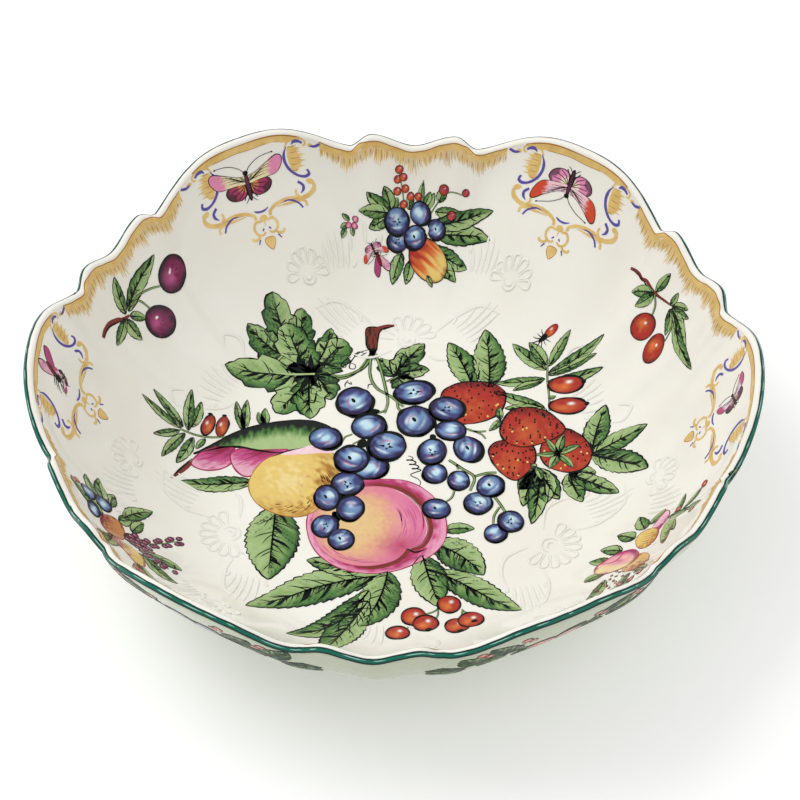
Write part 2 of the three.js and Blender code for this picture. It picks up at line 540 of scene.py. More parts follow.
# ---------------------------------------------------------------- painted motifs
def leaf(cv, base, tip, half, bend=0.0, teeth=8, dark=1, tone=0.0, level=1, seed=0, round_tip=0.0,
         saw=0.13):
    """A serrated leaf from base to tip. dark says which side of the midrib is shaded, and saw how
    deep its teeth are."""
    base, tip = np.array(base, float), np.array(tip, float)
    along = tip - base
    length = np.linalg.norm(along)
    across = np.array([-along[1], along[0]]) / length
    middle = (base + tip) / 2 + across * bend * length
    t = np.linspace(0, 1, max(24, teeth * 5))[:, None]
    spine = (1 - t) ** 2 * base + 2 * t * (1 - t) * middle + t**2 * tip
    t = t[:, 0]
    normal = normals_of(spine)
    power = 0.75 - 0.3 * round_tip
    width = half * np.sin(math.pi * t**0.85) ** power
    above = 1 + saw * (((t * teeth) % 1.0) - 0.4) * (teeth > 0)
    below = 1 + saw * (((t * teeth + 0.45) % 1.0) - 0.4) * (teeth > 0)
    left = spine + normal * (width * above)[:, None]
    right = spine - normal * (width * below)[:, None]
    outline = np.vstack([left, right[-2:0:-1]])

    def paint(p):
        gap = np.linalg.norm(p[:, None] - spine[None], axis=2)
        k = gap.argmin(1)
        s = t[k]
        side = ((p - spine[k]) * normal[k]).sum(1) / np.maximum(width[k], 0.3)
        shade = side * dark
        slant = s * length - 0.8 * np.abs(side) * half
        streak = grain(slant * 1.1, side * 2.0 + 3, seed) - 0.5
        fine = grain(slant * 3.2, side * 1.6 + 9, seed + 9) - 0.5
        colour = blend(LEAF, LEAF_PALE, np.clip(0.4 - 0.5 * shade + 1.1 * streak, 0, 1))
        colour = blend(colour, LEAF_DEEP, step(0.0, 0.75, shade + 1.1 * streak + 1.1 * tone))
        fold = np.exp(-(((shade - 0.12) / 0.2) ** 2)) * (1 - 0.5 * s)
        gloom = 0.42 * (1 - s) ** 2.5 + 0.42 * fold + 0.26 * np.maximum(shade, 0)
        gloom += 1.1 * fine + 0.5 * streak + 1.3 * tone
        colour = blend(colour, LEAF_DARK, 0.9 * step(0.48, 0.78, gloom))
        edge = step(0.78, 1.0, np.abs(side)) * (shade > 0)
        return blend(colour, LEAF_DARK, 0.75 * edge)

    cv.fill("shade" if cv.name.startswith("outside") else "leaves", outline, paint, level, pitch=0.62)
    line = min(0.44, 0.085 * half + 0.1) / cv.scale
    cv.loop("ink", outline, line, level=level + 2, seed=seed, uneven=0.8)
    cv.stroke("ink", spine[: int(len(spine) * 0.93)], line * 1.5, level=level + 2, ends=(1, 0.1),
              curve=False)
    size = length * cv.scale
    veins = int(size / 4.6) if size > 6 else 0
    for i in range(veins):
        for way in (1, -1):
            s = 0.1 + 0.68 * i / max(veins - 1, 1) + 0.04 * math.sin(seed * 5 + i * 3.3 + way)
            k = max(0, int(s * (len(t) - 1)))
            e = min(k + int((0.13 + 0.04 * math.sin(i * 1.7 + seed)) * len(t)), len(t) - 2)
            reach = way * width[e] * (0.62 + 0.25 * math.sin(seed * 3 + i * 2.4 + way))
            end = spine[e] + normal[e] * reach
            mid = (spine[k] + end) / 2 + normal[k] * reach * 0.14
            heavy = 2.6 if way == dark and (i + seed) % 3 else 1.0
            cv.stroke("ink", [spine[k], mid, end], line * heavy, level=level + 2, ends=(0.9, 0.04))
    hatches = int(size / 1.5) if size > 9 else 0
    for i in range(hatches):
        s = 0.06 + 0.74 * i / hatches
        k = int(s * (len(t) - 1))
        e = min(k + 3, len(t) - 2)
        reach = dark * width[e] * (0.3 + 0.22 * math.sin(i * 2.9 + seed))
        start = spine[k] + normal[k] * dark * 0.12 * line
        cv.stroke("ink", [start, spine[e] + normal[e] * reach], line * 1.3, level=level + 2,
                  ends=(1, 0.02), curve=False)


def grape(cv, x, y, rx, ry, turn=0, level=3, seed=0, base=BLUE, pale=BLUE_PALE, deep=VIOLET, dark=PLUM):
    """A round fruit: pale in the middle, blue, then violet towards a heavy dark edge, with two
    brushed bars of light, a magenta arc and a dark fold."""
    outline = ellipse(x, y, rx, ry, turn, 0.015, seed)
    light = math.radians(100 + 50 * math.sin(seed * 1.7))

    def paint(p):
        ux, uy = within(p, x, y, rx, ry, turn)
        r = np.hypot(ux, uy)
        lx, ly = math.cos(light), math.sin(light)
        along, over = -ux * ly + uy * lx, ux * lx + uy * ly
        bow = over - 0.3 * along**2
        stripe = grain(bow * 3.4 + 5, along * 1.5 + 3, seed) - 0.5
        fleck = grain(ux * 4 + 11, uy * 4, seed + 5) - 0.5
        off = np.hypot(ux - 0.16 * lx, uy - 0.16 * ly)
        colour = blend(pale, base, step(0.02, 0.46, off + 0.55 * stripe))
        colour = blend(colour, deep, 0.88 * step(0.4, 0.8, off + 0.7 * stripe))
        for centre, wide, length in ((0.42, 0.1, 0.3), (-0.42, 0.07, 0.34)):
            off_middle = (along - 0.12 * math.sin(seed * 2.3)) / length
            patch = np.exp(-(((bow - centre) / wide) ** 2) - off_middle**2)
            colour = blend(colour, rgb("DDF0F6"), np.clip(0.9 * patch * (1 + 1.6 * fleck), 0, 1))
        angle = np.arctan2(uy, ux) - 2.4 * seed
        blush = np.exp(-(((r - 0.4) / 0.07) ** 2)) * step(0.4, 0.9, np.cos(angle))
        colour = blend(colour, MAGENTA, np.clip(0.6 * blush, 0, 1))
        fold = np.exp(-(((r - 0.68) / 0.06) ** 2)) * step(0.1, 0.8, np.cos(angle - 1.6))
        colour = blend(colour, dark, np.clip(0.8 * fold, 0, 1))
        return blend(colour, dark, 0.95 * step(0.74, 0.94, r + 0.3 * fleck - 0.12 * over))

    cv.fill("fruit", outline, paint, level, pitch=0.45)
    cv.loop("ink", outline, 0.07 * (rx + ry), level=level + 1, uneven=0.8, seed=seed)
    a0 = light + math.pi
    heavy = [(x + rx * 0.95 * math.cos(a0 + k), y + ry * 0.95 * math.sin(a0 + k))
             for k in (-1.2, -0.5, 0.3, 1.1)]
    cv.stroke("ink", heavy, 0.2 * min(rx, ry), level=level + 1, ends=(0.05, 0.05))
    if seed % 3 == 0:
        for i in range(4):
            k = light + 1.57 * i + 0.5 * math.sin(seed + i)
            near, far = 0.12, 0.34 + 0.1 * math.sin(i * 2.3 + seed)
            dimple = [(x + d * rx * math.cos(k), y + d * ry * math.sin(k)) for d in (near, far)]
            cv.stroke("ink", dimple, 0.19 * rx, level=level + 1, ends=(1, 0.05), curve=False)
    elif seed % 3 == 1:
        speck = ellipse(x - 0.1 * rx, y + 0.1 * ry, 0.1 * rx, 0.17 * ry, 30, n=12)
        cv.fill("ink", speck, INK, level + 1, pitch=1)


def berry(cv, x, y, rx, ry=None, turn=0, level=3, seed=0, base=RED, deep=RED_DEEP, pale=ORANGE):
    """A small glossy berry, currant or hip."""
    ry = ry or rx
    outline = ellipse(x, y, rx, ry, turn, 0.02, seed, n=36)

    def paint(p):
        ux, uy = within(p, x, y, rx, ry, turn)
        r = np.hypot(ux, uy)
        brush = grain(ux * 3 + 7, uy * 3, seed) - 0.5
        glow = np.exp(-((ux + 0.2) ** 2 + (uy + 0.25) ** 2) / 0.22)
        colour = blend(base, pale, np.clip(0.75 * glow + brush * 0.5, 0, 1))
        colour = blend(colour, deep, step(0.72, 1.05, r + 0.25 * brush))
        shine = np.exp(-((ux - 0.18) ** 2 + (uy - 0.3) ** 2) / 0.025)
        return blend(colour, WHITE, np.clip(1.2 * shine, 0, 1))

    cv.fill("fruit", outline, paint, level, pitch=0.45)
    cv.loop("ink", outline, 0.06 * (rx + ry), INK, level + 1, uneven=0.9, seed=seed)


def cherry(cv, x, y, rx, ry, turn=0, level=3, seed=0, red=False):
    """A cherry: near black and wine red, or orange red, with a torn white light."""
    edge, body, pale = (RED_DEEP, RED, ORANGE) if red else (rgb("1C0A14"), rgb("7A1E4C"), rgb("C05A8E"))
    outline = ellipse(x, y, rx, ry, turn, 0.03, seed)

    def paint(p):
        ux, uy = within(p, x, y, rx, ry, turn)
        r = np.hypot(ux, uy)
        brush = grain(np.arctan2(uy, ux) * 2.5 + 5, r * 5, seed) - 0.5
        colour = blend(body, edge, step(0.44 if not red else 0.74, 0.98, r + 0.6 * brush))
        glow = np.exp(-((ux + 0.25) ** 2 + (uy - 0.1) ** 2) / 0.16)
        colour = blend(colour, pale, np.clip(0.8 * glow + 0.5 * brush, 0, 0.9) * step(1.0, 0.6, r))
        shine = np.exp(-(((ux - 0.02) / 0.24) ** 2 + ((uy - 0.28) / 0.16) ** 2)) + 0.5 * brush
        return blend(colour, WHITE, step(0.72, 0.9, shine))

    cv.fill("fruit", outline, paint, level, pitch=0.45)
    cv.loop("ink", outline, 0.3, INK, level + 1, uneven=0.5, seed=seed)


def strawberry(cv, points, level=2, seed=0, seeds=26):
    """A strawberry with an outline of its own, pips and a dark shaded shoulder."""
    outline = spline(points, closed=True, pitch=0.8 / cv.scale)
    middle = outline.mean(0)
    size = (outline.max(0) - outline.min(0)) / 2

    def paint(p):
        u = (p - middle) / size
        r = np.hypot(u[:, 0], u[:, 1])
        brush = grain(p[:, 0] * 0.8, p[:, 1] * 0.5, seed) - 0.5
        glow = np.exp(-((u[:, 0] + 0.1) ** 2 + (u[:, 1] + 0.3) ** 2) / 0.3)
        colour = blend(RED, ORANGE, np.clip(0.3 * glow + 0.35 * brush, 0, 0.5))
        return blend(colour, RED_DEEP, step(0.55, 1.0, r * 0.6 + 0.5 * u[:, 1] + 0.4 * brush))

    cv.fill("fruit", outline, paint, level, pitch=0.6)
    cv.loop("ink", outline, 0.55, level=level + 1, seed=seed, uneven=0.7)
    for k in range(0, len(outline), 2):
        inward = (middle - outline[k]) / np.linalg.norm(middle - outline[k])
        if outline[k][1] > middle[1] - 0.2 * size[1]:
            reach = 1.6 + 1.2 * math.sin(k * 1.7)
            cv.stroke("ink", [outline[k], outline[k] + inward * reach], 0.36, level=level + 1,
                      ends=(1, 0.05), curve=False)
    placed = 0
    i = 0
    while placed < seeds * 1.5 and i < seeds * 6:
        i += 1
        u = np.array([math.sin(i * 12.9898 + seed) * 0.85, math.sin(i * 78.233 + seed * 2) * 0.85])
        spot = middle + u * size
        if not inside_outline(spot[None], outline)[0]:
            continue
        if np.linalg.norm(outline - spot, axis=1).min() < 0.9:
            continue
        placed += 1
        if u[1] < 0.05 and placed % 3 == 0:
            cv.fill("fruit", ellipse(*spot, 0.4, 0.52, 20 * u[0], n=9), YELLOW, level + 1, pitch=1)
        else:
            cv.fill("ink", ellipse(*spot, 0.34, 0.6, 30 * u[0], n=8), INK, level + 1, pitch=1)


def stem(cv, points, width=0.8, level=1, colour=None):
    """A green stalk with ink down both sides, heavier on one."""
    cv.stroke("leaves", points, width, LEAF if colour is None else colour, level, ends=(0.7, 0.5))
    path = spline(points, pitch=0.8 / cv.scale)
    for side, line in ((0.5, 0.42), (-0.5, 0.25)):
        edge = path + normals_of(path) * width * side
        cv.stroke("ink", edge, width * line, level=level + 1, ends=(0.6, 0.3), curve=False)


def tendril(cv, points, width=0.42, level=2):
    cv.stroke("ink", points, width, level=level, ends=(0.6, 0.5))


# ---------------------------------------------------------------- the centre bouquet
def vine_leaf(cv):
    lobes = [
        ((-42, 57), (-51, 77.5), 6.0, 0.06, 1, 0.10, 1, 1.0),
        ((-41, 56), (-40, 75), 5.0, -0.08, -1, 0.28, 1, 0.6),
        ((-43, 54), (-59.5, 65), 5.4, 0.10, 1, 0.25, 1, 0.0),
        ((-34, 49), (-28.5, 69.5), 4.4, -0.1, 1, 0.30, 1, 0.2),
        ((-34, 47), (-23.5, 65), 7.6, -0.05, -1, 0.06, 2, 0.9),
        ((-35, 47), (-45.5, 68.5), 7.2, 0.02, -1, 0.02, 4, 1.0),
        ((-34, 46.5), (-66.5, 47), 8.0, 0.05, 1, -0.04, 4, 0.0),
        ((-34, 46), (-46, 26.5), 7.2, 0.04, 1, 0.02, 5, 0.8),
        ((-33, 46), (-26, 34), 5.4, 0.1, 1, 0.22, 5, 0.2),
        ((-35, 45.5), (-33, 24), 6.4, -0.02, -1, 0.04, 7, 0.0),
    ]
    for i, (base, tip, half, bend, dark, tone, level, round_tip) in enumerate(lobes):
        leaf(cv, base, tip, half, bend, 4, dark, tone, level, i, round_tip, 0.34)
    rays = ((12, 5), (40, 9), (62, 6), (95, 10), (118, 12), (140, 7), (162, 9), (200, 7), (222, 9),
            (250, 11), (272, 8), (300, 9), (330, 5))
    for i, (angle, reach) in enumerate(rays):
        a = math.radians(angle)
        b = a + 0.35 * math.sin(i * 2.1)
        points = [(-34.5, 47), (-34.5 + 0.5 * reach * math.cos(b), 47 + 0.5 * reach * math.sin(b)),
                  (-34.5 + reach * math.cos(a), 47 + reach * math.sin(a))]
        cv.stroke("ink", points, 1.1 + 0.1 * reach, level=10, ends=(0.8, 0.03))
    cv.stroke("leaves", [(-33, 46.6), (-42, 46), (-50, 46.6)], 0.9, LEAF_PALE, 12, ends=(1, 0.2))


def small_vine_leaf(cv, x, y, scale=1.0, turn=0.0, mirror=False, lift=0, tone=0.1):
    """A leaf of five short lobes."""
    part = cv.moved(x, y, scale, turn, mirror, lift)
    lobes = [((10, 17), 5.0, 0.1), ((12.5, 3.5), 3.9, 0.16), ((1.5, 12), 3.8, -0.1),
             ((-6, 9), 3.2, 0.1), ((6, -6.5), 4.2, 0.0)]
    for i, (tip, half, bend) in enumerate(lobes):
        leaf(part, (0, 0), tip, half, bend, 3, 1 if i % 2 else -1, tone + 0.05 * (i % 3), 1 + i % 3,
             i + 3, saw=0.34)


def grapes(cv):
    bunch = [
        (4.5, 39, 7.4, 5.8, 10), (6, 24.5, 6.9, 7.5, 10), (19, 20.5, 5.5, 5.0, 0),
        (17, 31, 6.6, 6.0, 0),
        (-17, 33, 6.9, 7.2, 0), (-11, 21, 6.5, 6.0, 0), (-4, 11.5, 7.0, 7.0, 0),
        (-16.5, 4.5, 6.2, 6.6, 0),
        (-9, 0.8, 6.3, 5.7, 20), (-17, -7.5, 5.8, 5.8, 0), (-24, -14.5, 4.7, 6.0, 5),
        (-15.2, -19.2, 5.0, 6.0, -5),
        (-23.5, -28, 4.8, 5.3, 0), (-17.5, -34, 4.6, 5.0, 20), (14.2, -1, 4.4, 4.8, 0),
        (12.8, 9.5, 5.1, 6.4, -10),
        (26, 11.5, 5.2, 6.6, 25), (23, -4, 4.0, 4.6, 0), (30.5, -14.5, 5.2, 5.2, 0),
        (34.7, -6, 5.0, 5.2, 0),
        (37.5, -28.5, 4.0, 4.4, 0), (42.5, -22.7, 4.6, 5.0, -10), (15.7, -18, 5.0, 4.7, 0),
        (-26.5, 14.3, 6.1, 5.4, -5),
    ]
    for i, (x, y, rx, ry, turn) in enumerate(bunch):
        grape(cv, x, y, rx, ry, turn, level=12 + 2 * (i % 8), seed=i)
    gaps = [(-10.5, 28.4, 2.6, 1.6), (-13, 12.6, 2, 2), (11.6, 25, 2.2, 3.4), (-19.4, -13, 2.2, 1.6),
            (-20, -23.5, 1.6, 2.6), (12.6, 16.8, 1.2, 1.6), (-12, -3.6, 1.6, 1.2)]
    for x, y, rx, ry in gaps:
        cv.fill("ink", ellipse(x, y, rx, ry, 20, 0.1, x), INK, 9, pitch=2)


def vine(cv):
    twig = spline([(-15, 71), (-15.3, 66), (-14, 60.5), (-11, 59.5), (-10.6, 66), (-9.8, 70),
                   (-4.6, 72.8), (-9, 71.6)], True, 0.6)

    def bark(p):
        brush = grain(p[:, 0] * 1.6, p[:, 1] * 0.5, 2)
        return blend(BROWN, INK, step(0.45, 0.8, brush + 0.12 * np.abs(p[:, 0] + 12.7) - 0.1))

    cv.fill("leaves", twig, bark, 6, pitch=0.5)
    cv.stroke("bark", [(-11.5, 71), (-8, 72.2), (-4.2, 72.9)], 1.2, BROWN, 7, ends=(1, 0.3))
    cv.loop("ink", twig, 0.5, level=7)
    for i in range(5):
        cv.stroke("ink", [(-13.5 + i * 0.6, 61), (-13 + i * 0.4, 57.5), (-13.4 + i * 0.7, 54.5)], 0.8,
                  level=7)
    stem(cv, [(-12.5, 59), (-15, 51), (-22, 46.2), (-29, 46.5), (-34, 46.8)], 1.1, 5)
    stem(cv, [(-12.8, 58), (-17, 49), (-23, 44.8), (-27.5, 47.5), (-30, 49.5)], 0.8, 4)
    stem(cv, [(-12.8, 57), (-12.4, 47), (-9.5, 40.5), (-4, 36.5), (1, 31.5)], 0.9, 8)
    stem(cv, [(-11, 58), (-8.6, 50), (-6.6, 42), (-5, 34), (-5.8, 28)], 0.9, 8)
    stem(cv, [(-5.6, 29.5), (-8, 28.2), (-11, 28.5)], 0.6, 8)
    stem(cv, [(-6.2, 44), (-4, 45.5), (-2, 47)], 0.6, 8)
    stem(cv, [(-1.5, 33.5), (-0.8, 30.5), (1, 29)], 0.8, 8)
    stem(cv, [(24, 22), (28, 20.4), (32, 20.8)], 0.7, 2)
    stem(cv, [(27.5, 20.6), (30.5, 19), (32, 17)], 0.6, 2)
    stem(cv, [(19, 6), (24, 2), (28.6, -2), (27.4, -8.6)], 0.9, 6)
    stem(cv, [(28.6, -1.6), (33, 0.2), (36.6, 0.7)], 0.8, 6)
    stem(cv, [(22, 4), (22.6, 1.5)], 0.6, 6)
    stem(cv, [(36, -10.5), (38.8, -15), (41, -19)], 0.8, 6)
    stem(cv, [(38.4, -15.8), (36.6, -20), (36.4, -24.5)], 0.7, 6)
    stem(cv, [(21.8, -8.2), (21, -12), (18.4, -14.8)], 0.6, 6)
    stem(cv, [(-17, 17), (-19.5, 15.5), (-20.5, 12.6)], 0.5, 3)
    stem(cv, [(-13, 14.8), (-16.5, 12.2)], 0.5, 3)
    tendril(cv, [(-14, 60), (-17.6, 58), (-19.8, 54), (-20.4, 50.4), (-18.4, 50), (-18.3, 52),
                 (-19.8, 52.8)])
    tendril(cv, [(-14.5, 58.6), (-17, 56.5), (-19, 57), (-17.2, 58.8), (-15, 57.8)])
    tendril(cv, [(-20.2, 56), (-22.4, 54), (-23.6, 51.5), (-22, 50.6), (-21.6, 52), (-23, 52.3)])
    tendril(cv, [(-28, 50), (-25, 49.6), (-22.6, 50.4)])
    tendril(cv, [(-20.4, 44), (-21.4, 42), (-21.2, 40.4)])
    tendril(cv, [(-20.6, 43), (-19, 42), (-19.4, 43.4)])
    tendril(cv, [(-11.2, 42.4), (-12.6, 42.2), (-12.8, 40.2)])
    coil = [(4.2 + 0.35 * k + 1.5 * math.sin(k * 1.9), 6.8 - 0.62 * k + 0.5 * math.cos(k * 1.9))
            for k in np.arange(0, 11, 0.5)]
    tendril(cv, coil + [(5.5, -1.8), (8.4, -3.8), (9.4, -5.6), (8.9, -7)], 0.5)


def strawberries(cv):
    strawberry(cv, [(14.5, 38), (18, 43), (25, 45.4), (34, 44.6), (38.4, 39.5), (37, 31), (31, 25.8),
                    (22, 24), (15, 28)], 6, 1, 30)
    strawberry(cv, [(33.3, 10), (35.5, 15.4), (42, 17), (49, 14.5), (50.6, 8), (48, 1.5), (43.5, -2.8),
                    (37.5, 1.5)], 8, 4, 26)
    strawberry(cv, [(52, 12), (55, 21), (61, 23.4), (67.5, 19.5), (71, 12), (68.5, 4.5), (62, 2),
                    (54.5, 5)], 7, 7, 18)
    strawberry(cv, [(37, 22), (40, 30.5), (46, 33.4), (54, 31.6), (60, 25.4), (60.4, 21.6), (55, 17),
                    (46, 13.6), (39.4, 16)], 10, 2, 34)
    for i, (tip, half) in enumerate([((60.5, 20.5), 1.6), ((66.5, 15.5), 1.5), ((64.5, 4.2), 1.5),
                                     ((55.5, 3.6), 1.7), ((50.5, 10.2), 1.3), ((54.2, 18), 1.3)]):
        leaf(cv, (58.6, 10.8), tip, half, 0.05, 0, 1 if i % 2 else -1, 0.05, 12, i)
    for tip in ((49, 5), (53, -2), (33, 21), (36.5, 33)):
        leaf(cv, (51, 4) if tip[0] > 45 else (37, 27), tip, 1.4, 0.1, 0, 1, 0.15, 12, 3)


def lobed_leaf(cv, x, y, tips, level=2, tone=0.08, seed=0):
    for i, (tip, half) in enumerate(tips):
        leaf(cv, (x, y), tip, half, 0.08 * (-1) ** i, 5, 1 if i % 2 else -1, tone, level + i % 3,
             seed + i)


def right_side(cv):
    leaf(cv, (26, 43), (16, 65), 5.0, -0.06, 9, -1, 0.06, 2, 2)
    leaf(cv, (32, 43), (29.5, 70.8), 6.0, -0.06, 10, -1, 0.04, 4, 5)
    stem(cv, [(53.4, 55), (53.6, 47), (54.4, 40), (54.8, 32)], 0.6, 3)
    sprig = [((53, 52), (40, 64.3), 2.4), ((53, 54), (46.2, 64), 2.2), ((54, 53.5), (61.6, 66), 1.9),
             ((54, 50.6), (74, 60.6), 2.7),
             ((54, 49.6), (71.5, 54.4), 2.0), ((53.6, 46.5), (74, 48.8), 2.2),
             ((52.6, 48), (34.6, 45), 2.4), ((52, 47), (41, 41.6), 1.7),
             ((53, 33.5), (34, 40.6), 2.6), ((54, 32), (38.4, 32.6), 2.4),
             ((54.4, 38), (57, 39.6), 0.9)]
    for i, (base, tip, half) in enumerate(sprig):
        leaf(cv, base, tip, half, 0.06 * (-1) ** i, 8, 1 if i % 2 else -1, -0.06, 2 + i % 3, i)
    for x, y, rx in ((60.5, 44.5, 6.6), (61.5, 34.6, 7.1)):
        berry(cv, x, y, rx, 3.8, 0, 8, int(x))
        cv.fill("ink", ellipse(x + rx, y + 0.4, 0.9, 0.9, n=10), INK, 10, pitch=1)
    leaf(cv, (71, 13), (75.4, 32.6), 4.6, 0.06, 8, -1, 0.05, 3, 1)
    leaf(cv, (71.4, 11.4), (90.6, 17.6), 4.4, 0.08, 8, -1, 0.0, 4, 2)
    leaf(cv, (70.6, 10.6), (91, -3.4), 4.8, 0.1, 9, 1, 0.06, 5, 3)
    lobed_leaf(cv, 52, 3.5, [((44.6, -7), 4.0), ((59.6, -11), 4.4), ((55, -13), 4.4),
                             ((46.8, -15), 3.4), ((50, -23.4), 3.6)], 3, 0.06, 4)
    lobed_leaf(cv, 63, 1.5, [((72.6, 2), 3.6), ((68, -12), 3.8), ((81, -10.4), 3.6), ((75, -4.4), 4.4)],
               3, 0.08, 7)
    beetle(cv, 53, 66, 35, 1.0)


def beetle(cv, x, y, turn, scale):
    """A small beetle: oval wing case, black fore body, six legs."""
    part = cv.moved(x, y, scale, turn)
    for i in range(6):
        side = 1 if i % 2 else -1
        k = i // 2
        part.stroke("ink", [(-1.4 - 0.4 * k, 0), (-1.2 - 1.3 * k, side * 1.7),
                            (-0.6 - 1.9 * k, side * 3.2)], 0.3, level=5)
    for side in (1, -1):
        part.stroke("ink", [(-3.4, side * 0.3), (-5, side * 0.9), (-6.6, side * 1.9)], 0.34, level=5)
    berry(part, 1.6, 0, 2.9, 1.6, 0, 6, 2)
    part.fill("ink", ellipse(-1.6, 0, 1.5, 1.1, n=16), INK, 8, pitch=1)
    part.fill("ink", ellipse(-3.2, 0, 0.8, 0.7, n=12), INK, 8, pitch=1)


def left_side(cv):
    stem(cv, [(-80, 13.6), (-73, 12.8), (-66, 13.2), (-60, 14.2)], 0.7, 2)
    sprig = [((-80, 14), (-94, 21.5), 1.7), ((-79, 15), (-90.5, 26.4), 1.8),
             ((-77, 14), (-77.4, 32.5), 1.9), ((-76, 16), (-73.6, 28.5), 1.9),
             ((-80, 13), (-88.6, 6.4), 1.5), ((-78, 12.4), (-84.8, -2.2), 1.8),
             ((-75, 11.4), (-79.6, -2.6), 2.0), ((-70.6, 12), (-73.4, 6.4), 1.2),
             ((-80, 14), (-80.6, 19), 1.2)]
    for i, (base, tip, half) in enumerate(sprig):
        leaf(cv, base, tip, half, 0.05 * (-1) ** i, 7, 1 if i % 2 else -1, 0.05, 2 + i % 3, i)
    for x, turn in ((-70.2, 78), (-65, 84)):
        berry(cv, x, 18.6, 5.0, 2.3, turn, 6, int(-x), base=rgb("9A3326"))
        cv.fill("ink", ellipse(x + 0.3, 24, 0.9, 0.6, n=10), INK, 8, pitch=1)
    for base, tip, half in (((-57, 16.8), (-61, 31.5), 1.5), ((-56.4, 17), (-57, 32.4), 1.7),
                            ((-50, 20), (-52.4, 26.4), 1.4), ((-49, 20), (-50, 28.4), 1.6)):
        leaf(cv, base, tip, half, 0.04, 6, 1, 0.06, 2, int(-tip[0]))
    cv.stroke("leaves", [(-73.6, 0.6), (-77, -5), (-80.4, -10.6)], 1.5, BROWN, 4, ends=(1, 0.3))
    cv.stroke("ink", [(-74.4, 1.4), (-78, -5), (-80.8, -10.8)], 0.7, level=5)
    cucumber(cv)
    pods(cv)
    leaf(cv, (-51, -8), (-77.5, -10.8), 3.6, 0.03, 9, -1, 0.08, 3, 6)
    leaf(cv, (-42, -19), (-42, -53.6), 9.4, 0.0, 13, 1, 0.0, 3, 8)
    pear(cv)


def cucumber(cv):
    top = [(-74, 4), (-66, 11), (-58, 17), (-48, 21), (-36, 23.2), (-27, 21.2), (-21.4, 16)]
    under = [(-21.2, 11), (-28, 9), (-37, 8.3), (-46, 6.8), (-56, 8.4), (-64, 8.2), (-70, 6)]
    outline = spline(top + under, closed=True, pitch=0.8)
    crest = spline(top, pitch=0.8)

    def paint(p):
        gap = np.linalg.norm(p[:, None] - crest[None], axis=2).min(1)
        brush = grain(p[:, 0] * 1.3, p[:, 1] * 0.5, 4) - 0.5
        west = np.clip((-24 - p[:, 0]) / 40, 0, 1)
        colour = blend(INK, LEAF_DEEP, step(3.2, 6.4, gap + 3.2 * brush + 2 * west))
        return blend(colour, LEAF_PALE, step(5.8, 10.5, gap + 2.5 * brush + 3 * west))

    cv.fill("fruit", outline, paint, 6, pitch=0.6)
    cv.loop("ink", outline, 0.6, level=8, seed=2)


def pods(cv):
    shapes = [
        ([(-74.4, 0), (-71.4, 5.2), (-66, 8.4), (-60, 8.2), (-58.8, 4), (-60.6, 0), (-64, -2.4),
          (-69, -3.2), (-73.4, -2.2)], (-64, 8)),
        ([(-60.6, 5), (-57, 8), (-50, 7.6), (-40, 8.2), (-46, 3.6), (-49.6, -2), (-53, -5.4),
          (-56.4, -4.4), (-59.6, 0)], (-50, 8)),
    ]
    for i, (points, root) in enumerate(shapes):
        outline = spline(points, closed=True, pitch=0.7)

        def paint(p, root=root):
            d = np.hypot(p[:, 0] - root[0], (p[:, 1] - root[1]) * 1.3)
            brush = grain(p[:, 0] * 0.35 + p[:, 1] * 0.3, p[:, 1] * 1.8 - p[:, 0], 3) - 0.5
            colour = blend(rgb("8A1B3C"), rgb("C64C86"), step(1.5, 8, d + 4 * brush))
            return blend(colour, ROSE, 0.75 * step(8, 15, d + 6 * brush))

        cv.fill("fruit", outline, paint, 8 + 2 * i, pitch=0.6)
        cv.loop("crimson", outline, 0.45, MAGENTA, 9 + 2 * i, seed=i)
        mid = outline.mean(0)
        cv.stroke("crimson", [mid + (-4.5, 2), mid + (-1, 2.6), mid + (3.6, 2)], 0.4, MAGENTA,
                  10 + 2 * i)
        cv.stroke("crimson", [mid + (-5, -1), mid + (-2, 0.5), mid + (3, 3.5)], 0.35, MAGENTA,
                  10 + 2 * i)
    cv.stroke("ink", [(-66, 8.6), (-58, 8.8), (-52, 7.6), (-44, 6.6), (-37, 8)], 0.9, level=13)


